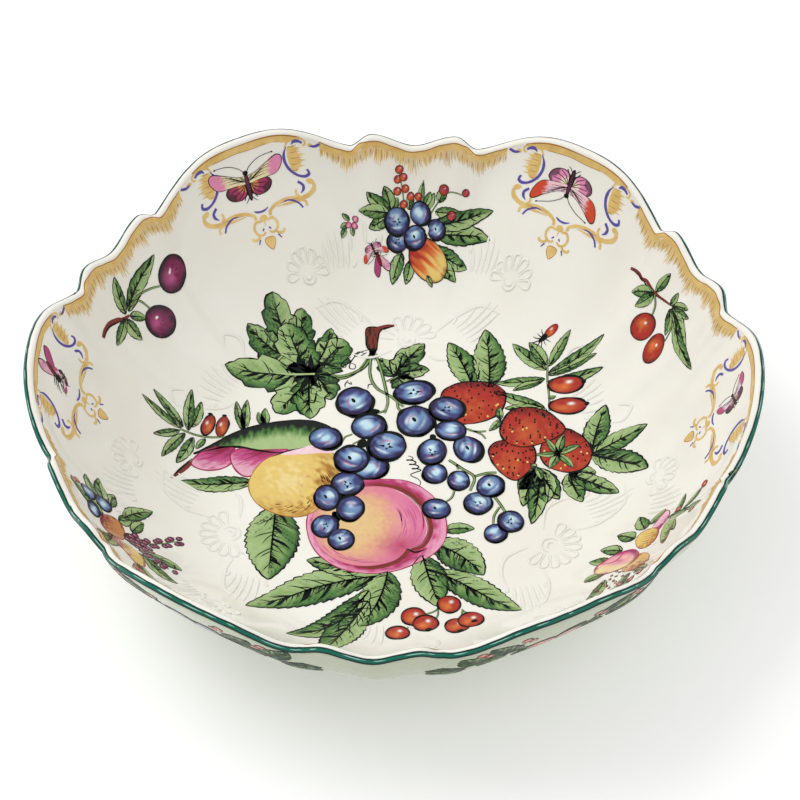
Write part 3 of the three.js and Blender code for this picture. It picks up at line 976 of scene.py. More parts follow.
def pear(cv):
    outline = spline([(-45, 5), (-37, 7), (-30, 8.6), (-24, 8), (-20.8, 0), (-22, -9), (-26.5, -19.6),
                      (-34, -24), (-43, -22.4),
                      (-50, -17), (-52.8, -9), (-50.4, -0.6)], closed=True, pitch=0.9)

    def paint(p):
        u = np.hypot((p[:, 0] + 38) / 14.5, (p[:, 1] + 7.5) / 16)
        brush = grain(p[:, 0] * 0.7 + p[:, 1] * 0.7, p[:, 1] * 0.35 - p[:, 0] * 0.3, 6) - 0.5
        right = (p[:, 0] + 38) / 15 - 0.25 * (p[:, 1] + 8) / 16
        colour = blend(YELLOW, rgb("EFD793"), step(0.25, 0.85, 0.9 - u + brush))
        colour = blend(colour, OCHRE, step(0.35, 1.05, right + 1.0 * brush))
        colour = blend(colour, rgb("6E4218"), 0.7 * step(0.8, 1.3, right + 1.0 * brush))
        low = (-p[:, 1] - 12) / 10
        return blend(colour, OCHRE, 0.8 * step(0.3, 1.2, low + 0.9 * brush))

    cv.fill("fruit", outline, paint, 12, pitch=0.7)
    cv.loop("brown", outline, 0.35, BROWN, 13, seed=3)
    for i in range(54):
        a = math.radians(-118 + 128 * abs(math.sin(i * 1.37)))
        k = 0.97 - 0.2 * abs(math.sin(i * 2.3)) ** 1.5
        reach = 0.1 + 0.1 * abs(math.sin(i * 3.1))
        turns = np.linspace(a, a + reach, 3)
        shrink = np.linspace(k, k - 0.06, 3)
        spots = zip(shrink, turns)
        path = [(-37.5 + 15 * d * math.cos(t), -7.5 + 15.5 * d * math.sin(t)) for d, t in spots]
        cv.stroke("brown" if i % 3 else "umber", path, 0.42, level=13, ends=(0.1, 0.1))
    blush = spline([(-43, 5.8), (-36, 9), (-31, 10.8), (-26, 9.4), (-23.4, 7.4), (-29, 7), (-36, 6)],
                   closed=True, pitch=0.8)
    cv.fill("fruit", blush, lambda p: blend(ROSE, WHITE, 0.5 * grain(p[:, 0], p[:, 1], 1)), 14,
            pitch=0.8)
    cv.stroke("ink", [(-45.6, 4.4), (-40, 7.4), (-33.6, 9.8)], 0.45, level=15)


def peach(cv):
    back = spline([(-14, -6), (-3, -4.4), (6, -5.6), (14, -11.6), (19, -21), (19.8, -31), (16.4, -38.4),
                   (10, -43.6), (2, -47.8), (-8, -49.2),
                   (-18, -46.8), (-26, -40), (-30, -30), (-29.6, -20), (-24, -11)], closed=True,
                   pitch=1)
    front = spline([(-20, -12), (-10, -8.4), (-1, -8.8), (6, -13), (11, -20), (13.2, -28), (11, -34.6),
                    (6.4, -37), (5, -39.4), (1.6, -43),
                    (-6, -45.6), (-14, -45.2), (-22, -41), (-27, -33.4), (-28.4, -23), (-25.6, -16.4)],
                    closed=True, pitch=1)

    def back_paint(p):
        d = np.hypot(p[:, 0] + 6, p[:, 1] + 26)
        brush = grain(np.arctan2(p[:, 1] + 26, p[:, 0] + 6) * 9, d * 1.3, 2) - 0.5
        colour = blend(rgb("8E2B2E"), rgb("C8407E"), step(17, 23, d + 4 * brush))
        return blend(colour, rgb("EDABC6"), 0.85 * step(20.5, 24.5, d + 3 * brush))

    def front_paint(p):
        gap = np.linalg.norm(p[:, None] - front[None], axis=2).min(1)
        d = np.hypot(p[:, 0] + 10, p[:, 1] + 26)
        brush = grain(np.arctan2(p[:, 1] + 26, p[:, 0] + 10) * 10, d * 1.1, 4) - 0.5
        fuzz = grain(p[:, 0] * 1.5, p[:, 1] * 1.5, 8) - 0.5
        ripe = d * 0.6 + (p[:, 0] + 16) * 0.45 + 5 * brush + 3 * fuzz
        warm = blend(rgb("E6C58C"), rgb("E3A08A"), step(4, 17, ripe))
        warm = blend(warm, rgb("E893AE"), step(12, 28, d * 0.6 + (p[:, 0] + 14) * 0.75 + 7 * brush))
        east = step(-6, 12, p[:, 0] + 0.3 * (p[:, 1] + 28))
        edge = step(6.0, 0.6, gap - 4.5 * east + 3.5 * brush)
        colour = blend(warm, rgb("DC6E9C"), 0.62 * edge)
        crease = np.exp(-(((p[:, 0] - 4) / 7) ** 2 + ((p[:, 1] + 36) / 5) ** 2))
        return blend(colour, rgb("B83B5E"), np.clip(0.75 * crease + 0.4 * brush * crease, 0, 1))

    cv.fill("fruit", back, back_paint, 7, pitch=0.7)
    cv.loop("crimson", back, 0.35, MAGENTA, 8, seed=1)
    cv.stroke("bark", [(-10, -7), (0, -8.2), (7, -12.4), (12, -19.6), (14.4, -28), (12, -35.6),
                       (6, -38)], 1.7, BROWN, 8, ends=(0.1, 0.4))
    cv.stroke("bark", [(7, -38.4), (3, -43), (-4, -46.2), (-12, -46.4)], 1.9, BROWN, 8,
              ends=(0.5, 0.05))
    cv.fill("fruit", front, front_paint, 9, pitch=0.7)
    light = [(0, -9.4), (6, -13), (11, -20), (13.1, -28), (11, -34.6), (6.4, -37)]
    cv.stroke("fruit", light, 0.55, rgb("F8DCE0"), 10, ends=(0.1, 0.4))
    cv.loop("blush", front, 0.22, level=10, seed=2)
    cv.stroke("ink", [(6, -37), (9.4, -38.6), (13.6, -36.6)], 0.8, level=11)
    for i in range(26):
        k = 1.0 - 0.4 * abs(math.sin(i * 2.17)) ** 1.6
        start = -34 + 70 * abs(math.sin(i * 1.31))
        end = start + 16 + 14 * abs(math.sin(i * 2.9))
        turns = np.radians(np.linspace(start - 20, end - 20, 5))
        points = [(-9 + 21.4 * k * math.cos(a), -26.6 + 18.6 * k * math.sin(a) + 1.5 * math.sin(2 * a))
                  for a in turns]
        width = 0.3 + 0.25 * abs(math.sin(i * 3.7))
        cv.stroke("crimson" if i % 3 == 0 and k > 0.9 else "blush", points, width, level=11,
                  ends=(0.05, 0.05))
    for i in range(8):
        k = 0.98 - 0.09 * abs(math.sin(i * 2.2))
        turns = np.radians(np.linspace(212 + 7 * i, 232 + 8 * i, 5))
        points = [(-8 + 19.6 * k * math.cos(a), -26.8 + 18.4 * k * math.sin(a)) for a in turns]
        cv.stroke("blush", points, 0.3, level=11, ends=(0.1, 0.1))


def lower_leaves(cv):
    leaf(cv, (-10, -49), (-29, -44), 3.8, -0.04, 7, 1, 0.12, 2, 1)
    leaf(cv, (-2, -50), (-48, -71), 7.0, -0.14, 15, 1, 0.0, 3, 2)
    leaf(cv, (-6, -57), (-32.4, -86), 5.2, 0.16, 14, -1, 0.02, 5, 3)
    leaf(cv, (-6, -62), (-19.5, -96), 6.2, -0.06, 14, -1, 0.0, 6, 4)
    leaf(cv, (0, -48), (-8.5, -74), 7.0, 0.14, 10, 1, 0.04, 7, 5)
    leaf(cv, (12, -40), (19.4, -63.4), 6.2, -0.03, 9, 1, 0.0, 6, 6)
    leaf(cv, (15, -34), (34, -48), 6.6, 0.16, 10, -1, 0.12, 4, 7)
    leaf(cv, (17, -47), (48, -66.8), 5.6, 0.05, 14, -1, 0.0, 5, 8)
    leaf(cv, (18.6, -28), (29.8, -26.6), 2.5, 0.12, 5, -1, 0.1, 3, 9)
    for points in ([(19.4, -63), (17.4, -65.4), (14, -67)], [(18.6, -63), (18.8, -67), (17.6, -70)],
                   [(10.4, -72), (8.6, -73.8)],
                   [(21, -55), (21.4, -57.6)], [(27, -64), (28.6, -65.6), (31, -66)],
                   [(27.4, -64.6), (27, -68)]):
        stem(cv, points, 0.5, 4)
    for i, (x, y, r) in enumerate([(10.4, -68.2, 4.3), (14.8, -71.4, 4.3), (5.4, -77, 4.0),
                                   (22.5, -62, 4.0), (26, -73, 4.4), (30.6, -70, 4.5)]):
        berry(cv, x, y, r * 1.02, r * 0.96, 0, 9 + 2 * (i % 3), i)
        if i in (1, 4, 5):
            cv.fill("ink", ellipse(x + 1.2, y - 3.4 + 2.6 * (i == 5), 1.2, 0.9, 30, n=12), INK, 15,
                    pitch=1)


def centre_bouquet():
    cv = floor_canvas("centre")
    vine_leaf(cv)
    small_vine_leaf(cv, -3, 47)
    right_side(cv)
    lower_leaves(cv)
    left_side(cv)
    peach(cv)
    strawberries(cv)
    vine(cv)
    grapes(cv)


# ---------------------------------------------------------------- the rim
RIM_SEGMENT = 30  # degrees that each stretch of the rim's green line covers


def rim_line():
    """The green line round the outside of the lip: a darker hair at each edge, and broken streaks
    of painted highlight along its middle: pale strokes that stand in for glints of light."""
    turns = range(0, 360, RIM_SEGMENT)
    half = RIM_SEGMENT / 2 * MM_PER_DEGREE
    xs = np.linspace(-half, half, 151)
    edges = [
        ("teal", 0.75, 2.35, TEAL, 2),
        ("pine", 0.5, 1.0, PINE, 4),
        ("pine", 1.95, 2.6, PINE, 4),
    ]
    for coat, low, high, colour, level in edges:
        for turn in turns:
            cv = strip_canvas("rim", turn + RIM_SEGMENT / 2, OUTSIDE)

            def wander(at, turn=turn):
                slow = 0.09 * np.sin(xs * 0.31 + turn)
                return -at - slow - 0.05 * np.sin(xs * 0.83 + 2 * turn)

            cv.band(coat, xs, wander(low), wander(high), colour, level, 5)
    # Painted highlights: short pale teal streaks along the line's middle, in place of glints of light.
    for turn in turns:
        cv = strip_canvas("rim", turn + RIM_SEGMENT / 2, OUTSIDE)
        for i in range(7):
            x = (i - 3.2 + 0.3 * math.sin(turn + 2 * i)) * 8.6
            reach = 2.4 + 1.5 * math.sin(i * 2.1 + turn)
            y = -1.3 - 0.12 * math.sin(i * 1.7 + turn)
            cv.stroke("shine", [(x - reach, y), (x, y - 0.04), (x + reach, y)], 0.26, level=6,
                      ends=(0.1, 0.1))


def fringe_depth(offset):
    """How far down the gilt fringe reaches, at an offset in degrees from the middle of a lobe."""
    depth = 8.2 + 0.7 * math.sin(offset * 2.1)
    for middle, more in ((17.7, 3.0), (20.6, 0.8), (23.7, 4.2), (29.8, 3.4)):
        depth += more * math.exp(-(((offset - middle) / 0.8) ** 2))
    return depth


def gilt_edge():
    """Gold along the lobes and feathered gold along the brackets."""
    lobe_half = 10.1 * MM_PER_DEGREE
    for lobe in range(LOBES):
        cv = strip_canvas("rim", SECTOR * lobe)
        xs = np.linspace(-lobe_half, lobe_half, 70)

        top = -2.35 - 0.25 * np.sin(xs * 0.21 + lobe)
        taper = np.clip((lobe_half - np.abs(xs)) / 5, 0, 1) ** 0.5
        low = top - 2.9 * taper - 0.15 * np.sin(xs * 0.5)
        cv.band("gold", xs, top, low, GOLD, 1, 4)
        cv.band("brown", xs, top + 0.16, top - 0.34, BROWN, 3)
        middle = slice(14, -20)  # the lower hair is left out towards the band's ends
        cv.band("brown", xs[middle], low[middle] + 0.08, low[middle] - 0.14, BROWN, 3)
        bracket = strip_canvas("rim", SECTOR * lobe + HALF_SECTOR)
        first = (HALF_SECTOR - 13.4) * MM_PER_DEGREE
        xs = np.linspace(-first, first, 150)
        offset = HALF_SECTOR - np.abs(xs) / MM_PER_DEGREE
        crown = -2.3 + 1.5 * np.exp(-(((offset - 20.2) / 1.2) ** 2)) + 0.1 * np.sin(xs * 0.9)
        bracket.band("gold", xs, crown, crown - 2.5 - 0.3 * np.sin(xs * 1.7), GOLD, 1, 4)
        bracket.band("brown", xs, crown + 0.14, crown - 0.26, BROWN, 3)
        count = int(2 * first / 0.66)
        for i in range(count):
            x = -first + 0.4 + i * (2 * first - 0.8) / (count - 1)
            offset = HALF_SECTOR - abs(x) / MM_PER_DEGREE
            depth = fringe_depth(offset) + 0.7 * math.sin(i * 2.3 + lobe)
            lean = 0.5 * math.sin(i * 0.37) + 0.35 * (1 if x > 0 else -1)
            points = [(x, -3.6), (x + 0.3 * lean, -0.6 * depth - 1.0), (x + lean, -depth)]
            bracket.stroke("gold", points, 0.46, GOLD, 2, ends=(1, 0.15))
            if i % 3 == 0:
                hair = [(p[0] + 0.3, p[1] - 1.5) for p in points[:2]]
                bracket.stroke("brown", hair, 0.16, BROWN, 4, ends=(0.2, 0.1))


def cartouche(cv):
    """Gold and violet scrollwork under a lobe; both halves mirror each other."""
    for mirror in (False, True):
        half = cv.moved(mirror=mirror)
        half.stroke("gold", [(14.2, -7.6), (15.4, -5.2), (17.8, -3.4), (20.4, -2.8), (22, -3.7),
                             (21.7, -5.2), (20.8, -5.7)], 0.8, GOLD, 3, ends=(0.3, 0.8))
        half.stroke("violet", [(20.9, -4.6), (19.6, -4.1), (18, -4.5), (16.9, -5.9)], 1.25, VIOLET, 4,
                    ends=(0.8, 0.1))
        half.stroke("violet", [(15, -6.8), (13.7, -9.6), (13.5, -13), (14.9, -16.2), (17.6, -18),
                               (20.3, -17.9), (21.9, -16.3), (21.3, -14.9)], 1.15, VIOLET, 4,
                               ends=(0.1, 0.9))
        mass = spline([(15, -8), (14.8, -11.5), (15.4, -14.6), (17.4, -16), (19, -13.8), (19.4, -11),
                       (18.6, -8.4), (17.2, -6.6), (15.8, -6.8)], closed=True)
        half.fill("gold", mass, GOLD, 1, pitch=1)
        for i in range(13):
            v = 6.6 + 0.78 * i
            reach = 18.3 + 2.2 * math.sin(math.pi * (i + 0.5) / 13) + 1.2 * (i % 3 == 1)
            half.stroke("gold", [(15.3, -v - 0.5), (17.4, -v - 0.1), (reach, -v + 0.9)], 0.66, GOLD, 2,
                        ends=(0.8, 0.08))
            if i % 3 == 0:
                half.stroke("brown", [(15.6, -v - 0.4), (17.4, -v), (reach - 1.4, -v + 0.7)], 0.2,
                            BROWN, 4)
        half.stroke("gold", [(22.9, -5.4), (23.8, -4.3), (24.9, -4.5)], 0.95, GOLD, 3, ends=(0.9, 0.3))
        half.stroke("violet", [(23.4, -5.2), (25.4, -4.6), (27.3, -2.9)], 0.95, VIOLET, 4,
                    ends=(0.5, 0.8))
        half.stroke("gold", [(22.4, -19), (23, -21), (21.6, -23.8), (17.8, -26.6), (12, -27.3),
                             (6.6, -28.6), (3.4, -30.6), (3.3, -32.2)], 1.5, GOLD, 3, ends=(1, 0.7))
        half.fill("gold", ellipse(21.7, -19.4, 1.6, 1.0, 20, n=18), GOLD, 2, pitch=1)
        half.stroke("violet", [(16.9, -20.5), (18.7, -21.6), (18.5, -23.4), (17.3, -25)], 1.15, VIOLET,
                    4, ends=(0.9, 0.15))
        half.stroke("gold", [(18.9, -29.6), (18.4, -27.8), (15.8, -27.9), (11.4, -29.1), (6.8, -29.6)],
                    1.1, GOLD, 3, ends=(1, 0.2))
        half.stroke("gold", [(15.7, -23.6), (15.4, -25.4), (17.4, -26.8)], 0.8, GOLD, 3,
                    ends=(0.8, 0.4))
        half.stroke("violet", [(17, -30.6), (15.6, -28.9), (12.4, -27.8), (9.4, -28.2)], 0.85, VIOLET,
                    4, ends=(0.9, 0.1))
        half.stroke("brown", [(16.6, -26.9), (12, -27.9), (7.4, -29)], 0.22, BROWN, 4)
        half.stroke("gold", [(1.2, -33.4), (3.6, -33.1), (5, -35), (4.5, -37.4), (2.4, -38.5),
                             (0.8, -37.7)], 1.0, GOLD, 3, ends=(0.7, 0.7))
        half.stroke("gold", [(3.2, -38.1), (4.8, -39.4), (6.8, -39.2), (7.2, -38.2)], 1.1, GOLD, 3,
                    ends=(0.3, 0.9))
        half.stroke("violet", [(4.1, -39.8), (5.2, -41.4)], 1.0, VIOLET, 4, ends=(0.6, 0.4),
                    curve=False)
        half.stroke("violet", [(1.1, -36.2), (1.9, -37)], 0.8, VIOLET, 4, ends=(0.8, 0.5), curve=False)
    cv.stroke("violet", [(-3, -28.9), (-1.2, -29.7), (1.2, -29.7), (3, -28.9)], 0.8, VIOLET, 4,
              ends=(0.4, 0.4))
    cv.fill("gold", ellipse(0, -32.4, 1.6, 1.3, n=20), GOLD, 3, pitch=1)
    cv.stroke("gold", [(0, -33), (0, -35.6)], 0.7, GOLD, 3, ends=(1, 0.2), curve=False)
    drop = spline([(-2, -40.2), (0, -39.8), (2, -40.2), (2.1, -42), (0.9, -44), (0, -44.7), (-0.9, -44),
                   (-2.1, -42)], closed=True)
    cv.fill("gold", drop, GOLD, 2, pitch=1)
    cv.loop("brown", drop, 0.2, BROWN, 4)


WINGS = {
    "pink": (rgb("F0E3B4"), rgb("E58FB4"), rgb("D9894A"), rgb("A5305F")),
    "red": (rgb("F4CBD6"), rgb("D2482B"), rgb("F6EBCB"), rgb("E58CB8")),
    "pale": (rgb("F3DCE6"), rgb("C24B7E"), rgb("E9C9A0"), rgb("7A2E5E")),
}


def butterfly(cv, x, y, turn, scale, wings, lift=0):
    near, tip, belt, far = WINGS[wings]
    part = cv.moved(x, y, scale, turn, lift=lift)
    fore = spline([(0.5, 3), (4, 4), (8.6, 6.6), (12.6, 9), (14.4, 8.2), (14, 5.2), (11.6, 2), (7.6, 1),
                   (3.8, 0.6), (0.5, 0.4)], closed=True, pitch=0.4)
    hind = spline([(0.5, 0.8), (4, 0.8), (7.6, 1), (9.2, -0.6), (8.4, -3), (6.4, -4.6), (3.6, -5),
                   (1.6, -4), (0.5, -2.4)], closed=True, pitch=0.4)

    def fore_paint(p):
        brush = grain(p[:, 0] * 1.2, p[:, 1] * 2.4, 3) - 0.5
        colour = blend(near, tip, step(7.6, 10, p[:, 0] + 2 * brush))
        dark = step(0.35, 0.5, brush + 0.25 * step(2.2, 0.2, np.abs(p[:, 1] - 0.62 * p[:, 0] - 1.4)))
        return blend(colour, INK, 0.8 * dark * step(9, 7, p[:, 0]))

    def hind_paint(p):
        d = np.hypot(p[:, 0], p[:, 1] - 1)
        brush = grain(p[:, 0] * 1.4, p[:, 1] * 1.4, 6) - 0.5
        colour = blend(belt, far, step(3.2, 4.6, d + 2 * brush))
        scallops = np.sin(np.arctan2(p[:, 1] - 1, p[:, 0]) * 9)
        return blend(colour, INK, 0.75 * step(6.6, 7.8, d + 2.4 * scallops * 0.3 + brush))

    for mirror in (False, True):
        side = part.moved(mirror=mirror)
        side.fill("paint", hind, hind_paint, 4, pitch=0.4)
        side.loop("ink", hind, 0.42, level=5, uneven=0.7)
        side.fill("paint", fore, fore_paint, 6, pitch=0.4)
        side.loop("ink", fore, 0.24, level=7, uneven=0.7)
        for i in range(4):
            side.stroke("ink", [(0.8, 1.2), (4 + i, 2 + i * 1.0), (8 + i, 2.4 + i * 1.4)], 0.28,
                        level=7, ends=(1, 0.1))
            a = math.radians(-8 - 20 * i)
            side.stroke("ink", [(1, 0.4), (3.4 * math.cos(a), 3.4 * math.sin(a)),
                                (7.2 * math.cos(a), 6 * math.sin(a))], 0.3, level=7, ends=(0.3, 1))
        side.stroke("ink", [(0.4, 4.4), (2, 6.6), (6, 9), (11, 10.2)], 0.22, level=7, ends=(1, 0.8))
        side.fill("ink", ellipse(11.2, 10.2, 0.42, 0.3, n=9), INK, 7, pitch=1)
        side.stroke("ink", [(0.4, -4.6), (1.6, -6.2), (2.6, -7)], 0.26, level=7)
    part.fill("paint", ellipse(0, -1, 0.8, 5.2, n=24), rgb("5E2340"), 8, pitch=0.5)
    part.loop("ink", ellipse(0, -1, 0.8, 5.2, n=24), 0.4, level=9)
    part.fill("ink", ellipse(0, 4.4, 1.0, 1.0, n=12), INK, 9, pitch=1)
    for i in range(4):
        part.stroke("ink", [(-0.8, -i * 1.2), (0, -0.2 - i * 1.2), (0.8, -i * 1.2)], 0.3, level=10)


def insect(cv, x, y, turn, scale, lift=0):
    """A small moth with two pink wings folded back over a striped body."""
    part = cv.moved(x, y, scale, turn, lift=lift)
    for side, tone in ((1, ROSE), (-1, MAGENTA)):
        wing = spline([(0, 0.4 * side), (2.4, 2.6 * side), (6, 4.2 * side), (8.2, 3 * side),
                       (6, 1 * side), (2.6, 0.2 * side)], closed=True, pitch=0.4)

        def wing_paint(p, tone=tone):
            return blend(tone, MAGENTA, 0.8 * grain(p[:, 0] * 1.5, p[:, 1] * 2, 1))

        part.fill("paint", wing, wing_paint, 4, pitch=0.5)
        part.loop("ink", wing, 0.3, level=5, uneven=0.7)
        for i in range(3):
            part.stroke("ink", [(0.6 - i, side * 0.4), (-0.6 - i * 1.1, side * 2.2),
                                (-1.4 - i * 1.6, side * 3.4)], 0.24, level=5)
        part.stroke("ink", [(-2.6, side * 0.3), (-4.8, side * 1), (-6.6, side * 2.4)], 0.24, level=5)
    part.fill("paint", ellipse(1.6, 0, 3.4, 1.0, n=22), RED_DEEP, 6, pitch=0.6)
    for i in range(4):
        part.stroke("ink", [(0.2 + i * 1.2, 0.9), (0.5 + i * 1.2, 0), (0.2 + i * 1.2, -0.9)], 0.5,
                    level=7)
    part.fill("ink", ellipse(-1.6, 0, 1.3, 1.0, n=14), INK, 7, pitch=1)


def lobes():
    """Each lobe's cartouche with its insect: x, y, turn, scale and colours of the butterflies."""
    butterflies = {
        0: (0, -17, 112, 0.62, "pale"),
        1: (-1, -15.5, 178, 0.98, "red"),
        2: (-1.6, -18.2, -2, 1.0, "pink"),
        3: (1.5, -20, 60, 0.36, "pale", 4),
        4: (0, -17.5, 8, 0.9, "red"),
        5: (0, -17.5, -6, 0.94, "pink"),
    }
    for lobe, butterfly_place in butterflies.items():
        degrees = SECTOR * lobe
        cv = strip_canvas("lobe_%d" % degrees, degrees)
        cartouche(strip_canvas("rim", degrees - 0.3))
        if lobe == 3:
            insect(cv, 0, -16, 78, 1.25)
        butterfly(cv, *butterfly_place)


# ---------------------------------------------------------------- the wall's bouquets
def leaves(cv, at, rows, level=2):
    """Leaves from (base angle, base depth, tip angle, tip depth, half width)."""
    for i, (a0, v0, a1, v1, half) in enumerate(rows):
        leaf(cv, at(a0, v0), at(a1, v1), half, 0.06 * (-1) ** i, 6, 1 if i % 2 else -1, 0.05 * (i % 3),
             level + i % 4, i)


def raspberry(cv, x, y, r, level=4, seed=0):
    berry(cv, x, y, r, r * 1.1, 0, level, seed)
    for i in range(9):
        a = 2.4 * i
        d = r * 0.75 * math.sqrt((i + 0.5) / 9)
        grain_of_fruit = ellipse(x + d * math.cos(a), y + d * math.sin(a), 0.26 * r, 0.26 * r, n=8)
        cv.loop("crimson", grain_of_fruit, 0.16, RED_DEEP, level + 2)


def apple(cv, x, y, rx, ry, turn, level=6, seed=0):
    """Yellow on one cheek, striped red on the other."""
    outline = ellipse(x, y, rx, ry, turn, 0.03, seed)

    def paint(p):
        ux, uy = within(p, x, y, rx, ry, turn)
        lines = grain(ux * 1.5, uy * 9, seed) - 0.5
        colour = blend(YELLOW, ORANGE, step(-0.6, 0.15, ux + 0.9 * lines))
        colour = blend(colour, RED, step(-0.15, 0.7, ux + 1.1 * lines))
        return blend(colour, RED_DEEP, 0.8 * step(0.8, 1.04, np.hypot(ux, uy) + 0.2 * lines))

    cv.fill("fruit", outline, paint, level, pitch=0.45)
    cv.loop("ink", outline, 0.3, level=level + 1, uneven=0.7, seed=seed)


def blushed(cv, x, y, rx, ry, turn, level=6, seed=0):
    """A peach: cream and yellow, with a strong magenta cheek towards its lower left."""
    outline = ellipse(x, y, rx, ry, turn, 0.03, seed)

    def paint(p):
        ux, uy = within(p, x, y, rx, ry)
        brush = grain(ux * 4, uy * 1.6, seed) - 0.5
        cheek = -0.75 * ux - 0.6 * uy + 0.9 * brush
        colour = blend(rgb("F2DDA4"), rgb("EFA9B4"), step(-0.35, 0.3, cheek))
        colour = blend(colour, rgb("C23A78"), step(0.2, 0.75, cheek))
        return blend(colour, rgb("8E1F55"), 0.8 * step(0.84, 1.02, np.hypot(ux, uy) + 0.3 * brush))

    cv.fill("fruit", outline, paint, level, pitch=0.45)
    cv.loop("crimson", outline, 0.34, level=level + 1, uneven=0.7, seed=seed)
    fold = [(x - 0.75 * rx, y - 0.1 * ry), (x - 0.2 * rx, y - 0.35 * ry), (x + 0.1 * rx, y - 0.9 * ry)]
    cv.stroke("crimson", fold, 0.7, level=level + 1, ends=(0.1, 0.2))


def melon(cv, x, y, rx, ry, turn, top, body, level=6, seed=0):
    """A yellow or green fruit with a blushed upper edge and hatched flank."""
    outline = ellipse(x, y, rx, ry, turn, 0.04, seed)

    def paint(p):
        ux, uy = within(p, x, y, rx, ry)
        brush = grain(p[:, 0] * 1.1, p[:, 1] * 1.1, seed) - 0.5
        colour = blend(body, top, step(0.1, 0.8, 0.7 * uy + 0.5 * ux + brush))
        return blend(colour, top * 0.45, 0.7 * step(0.85, 1.05, np.hypot(ux, uy) + 0.25 * brush))

    cv.fill("fruit", outline, paint, level, pitch=0.45)
    cv.loop("crimson", outline, 0.28, RED_DEEP, level + 1, uneven=0.7, seed=seed)
    for i in range(5):
        k = -0.5 + 0.25 * i
        cv.stroke("crimson", [(x + k * rx, y + 0.75 * ry), (x + (k + 0.12) * rx, y + 0.1 * ry),
                              (x + k * rx, y - 0.5 * ry)], 0.22, RED_DEEP, level + 1)


def currants(cv, at, spots, r=1.6, level=4, **colours):
    for i, (a, v) in enumerate(spots):
        berry(cv, *at(a, v), r, r * 1.05, 0, level + i % 3, i, **colours)


def top_bouquet(degrees):
    cv = strip_canvas("bouquet_%d" % degrees, degrees, level=True)
    at = spotter(90)
    stem(cv, [at(91.5, 28), at(91.8, 20), at(92.6, 11)], 0.4, 1)
    stem(cv, [at(89, 28), at(88.4, 22), at(88, 14)], 0.4, 1)
    stem(cv, [at(87, 30), at(83.5, 22), at(79.8, 19)], 0.45, 1)
    stem(cv, [at(87, 32), at(84, 31), at(82, 30.5)], 0.45, 1)
    leaves(cv, at, [
        (94.4, 29, 98.8, 21, 2.7), (94.2, 28, 95.4, 19.4, 2.4), (94, 28, 92.8, 21.6, 1.8),
        (94.6, 29, 100.6, 25.6, 2.8),
        (94.6, 30, 98.8, 34.8, 2.8), (94.4, 30, 96.9, 36, 2.4), (88.4, 24, 88, 14.6, 1.3),
        (87.6, 24, 86.6, 19.6, 1.4),
        (90.6, 25, 90.2, 18, 1.6), (85.4, 28, 80.6, 26.5, 2.2), (84.8, 25, 83.6, 19.5, 1.9),
        (85.6, 33, 74, 26.8, 3.6), (85, 37, 73.4, 38.6, 4.0),
        (85.4, 41, 77, 47.4, 3.6), (86, 43, 79, 51.6, 3.0), (92, 42, 94.2, 56, 3.0),
        (90, 44, 91, 53.6, 2.4), (87.4, 26, 85.8, 20.6, 1.5),
        (102.6, 29.6, 103.9, 28, 1.0), (103, 31.6, 104.6, 34, 1.2), (103.6, 33, 104.8, 38.2, 1.3),
        (102.2, 32, 102.2, 35.4, 1.0),
    ])
    currants(cv, at, [(92.5, 10.5), (92.8, 14.6), (91.8, 13), (92.9, 19.3), (91.4, 17.2), (90.4, 19.8),
                      (88.9, 20), (91.7, 23.4)], 1.55, 6)
    for i, (a, v, r) in enumerate([(84, 20.4, 1.9), (79.8, 18, 1.4), (82, 30.2, 1.8)]):
        raspberry(cv, *at(a, v), r, 6, i)
    apple(cv, *at(86, 46.2), 9.6, 7.8, 150, 8, 2)
    fruits = [(92.9, 38.4, 4.6, 4.3), (84.8, 35.4, 3.9, 4.0), (88.3, 26.8, 4.3, 4.6),
              (93, 31, 4.9, 5.6), (89.2, 35.6, 4.9, 4.6)]
    for i, (a, v, rx, ry) in enumerate(fruits):
        grape(cv, *at(a, v), rx, ry, 10 * i, 10 + 2 * i, i + 3)
    leaf(cv, at(86, 52), at(84.4, 57.5), 1.3, 0.05, 0, 1, 0.1, 8, 1)
    currants(cv, at, [(101.4, 28.6), (102.9, 31.6), (101.7, 31.2)], 1.25, 6, base=rgb("D65C8E"),
             deep=rgb("8E2350"), pale=ROSE)
    insect(cv, *at(97.4, 46.4), -70, 0.95, 8)
    butterfly(cv, *at(98.2, 43.6), 200, 0.42, "red", 10)


def dark_cherries(degrees):
    cv = strip_canvas("cherries_%d" % degrees, degrees, level=True)
    at = spotter(150)
    cv.stroke("bark", [at(163, 21.4), at(160.6, 18.8), at(158.4, 23), at(157, 25.4), at(155, 25.6)],
              1.7, BROWN, 3, ends=(0.8, 0.5))
    cv.stroke("ink", [at(163, 21.6), at(160.8, 19.5), at(158.6, 23.7), at(157, 26)], 0.7, level=4)
    leaves(cv, at, [(155.6, 24.4, 152.8, 9, 3.0), (154.6, 24, 143.2, 16, 3.2),
                    (156.6, 25.6, 161.8, 26.8, 2.0), (156.4, 26, 156.6, 36.4, 2.9),
                    (155, 26, 151.8, 29, 1.9)], 3)
    stem(cv, [at(154.6, 23), at(151.8, 21), at(150.4, 22.6), at(149.6, 27.6)], 0.7, 6)
    stem(cv, [at(153, 21.6), at(149.6, 20.2), at(147, 23), at(145, 26.4)], 0.7, 6)
    cherry(cv, *at(149.8, 33), 7.4, 6.4, 0, 7, 3)
    cherry(cv, *at(141.6, 26), 8.0, 6.0, 28, 7, 5)


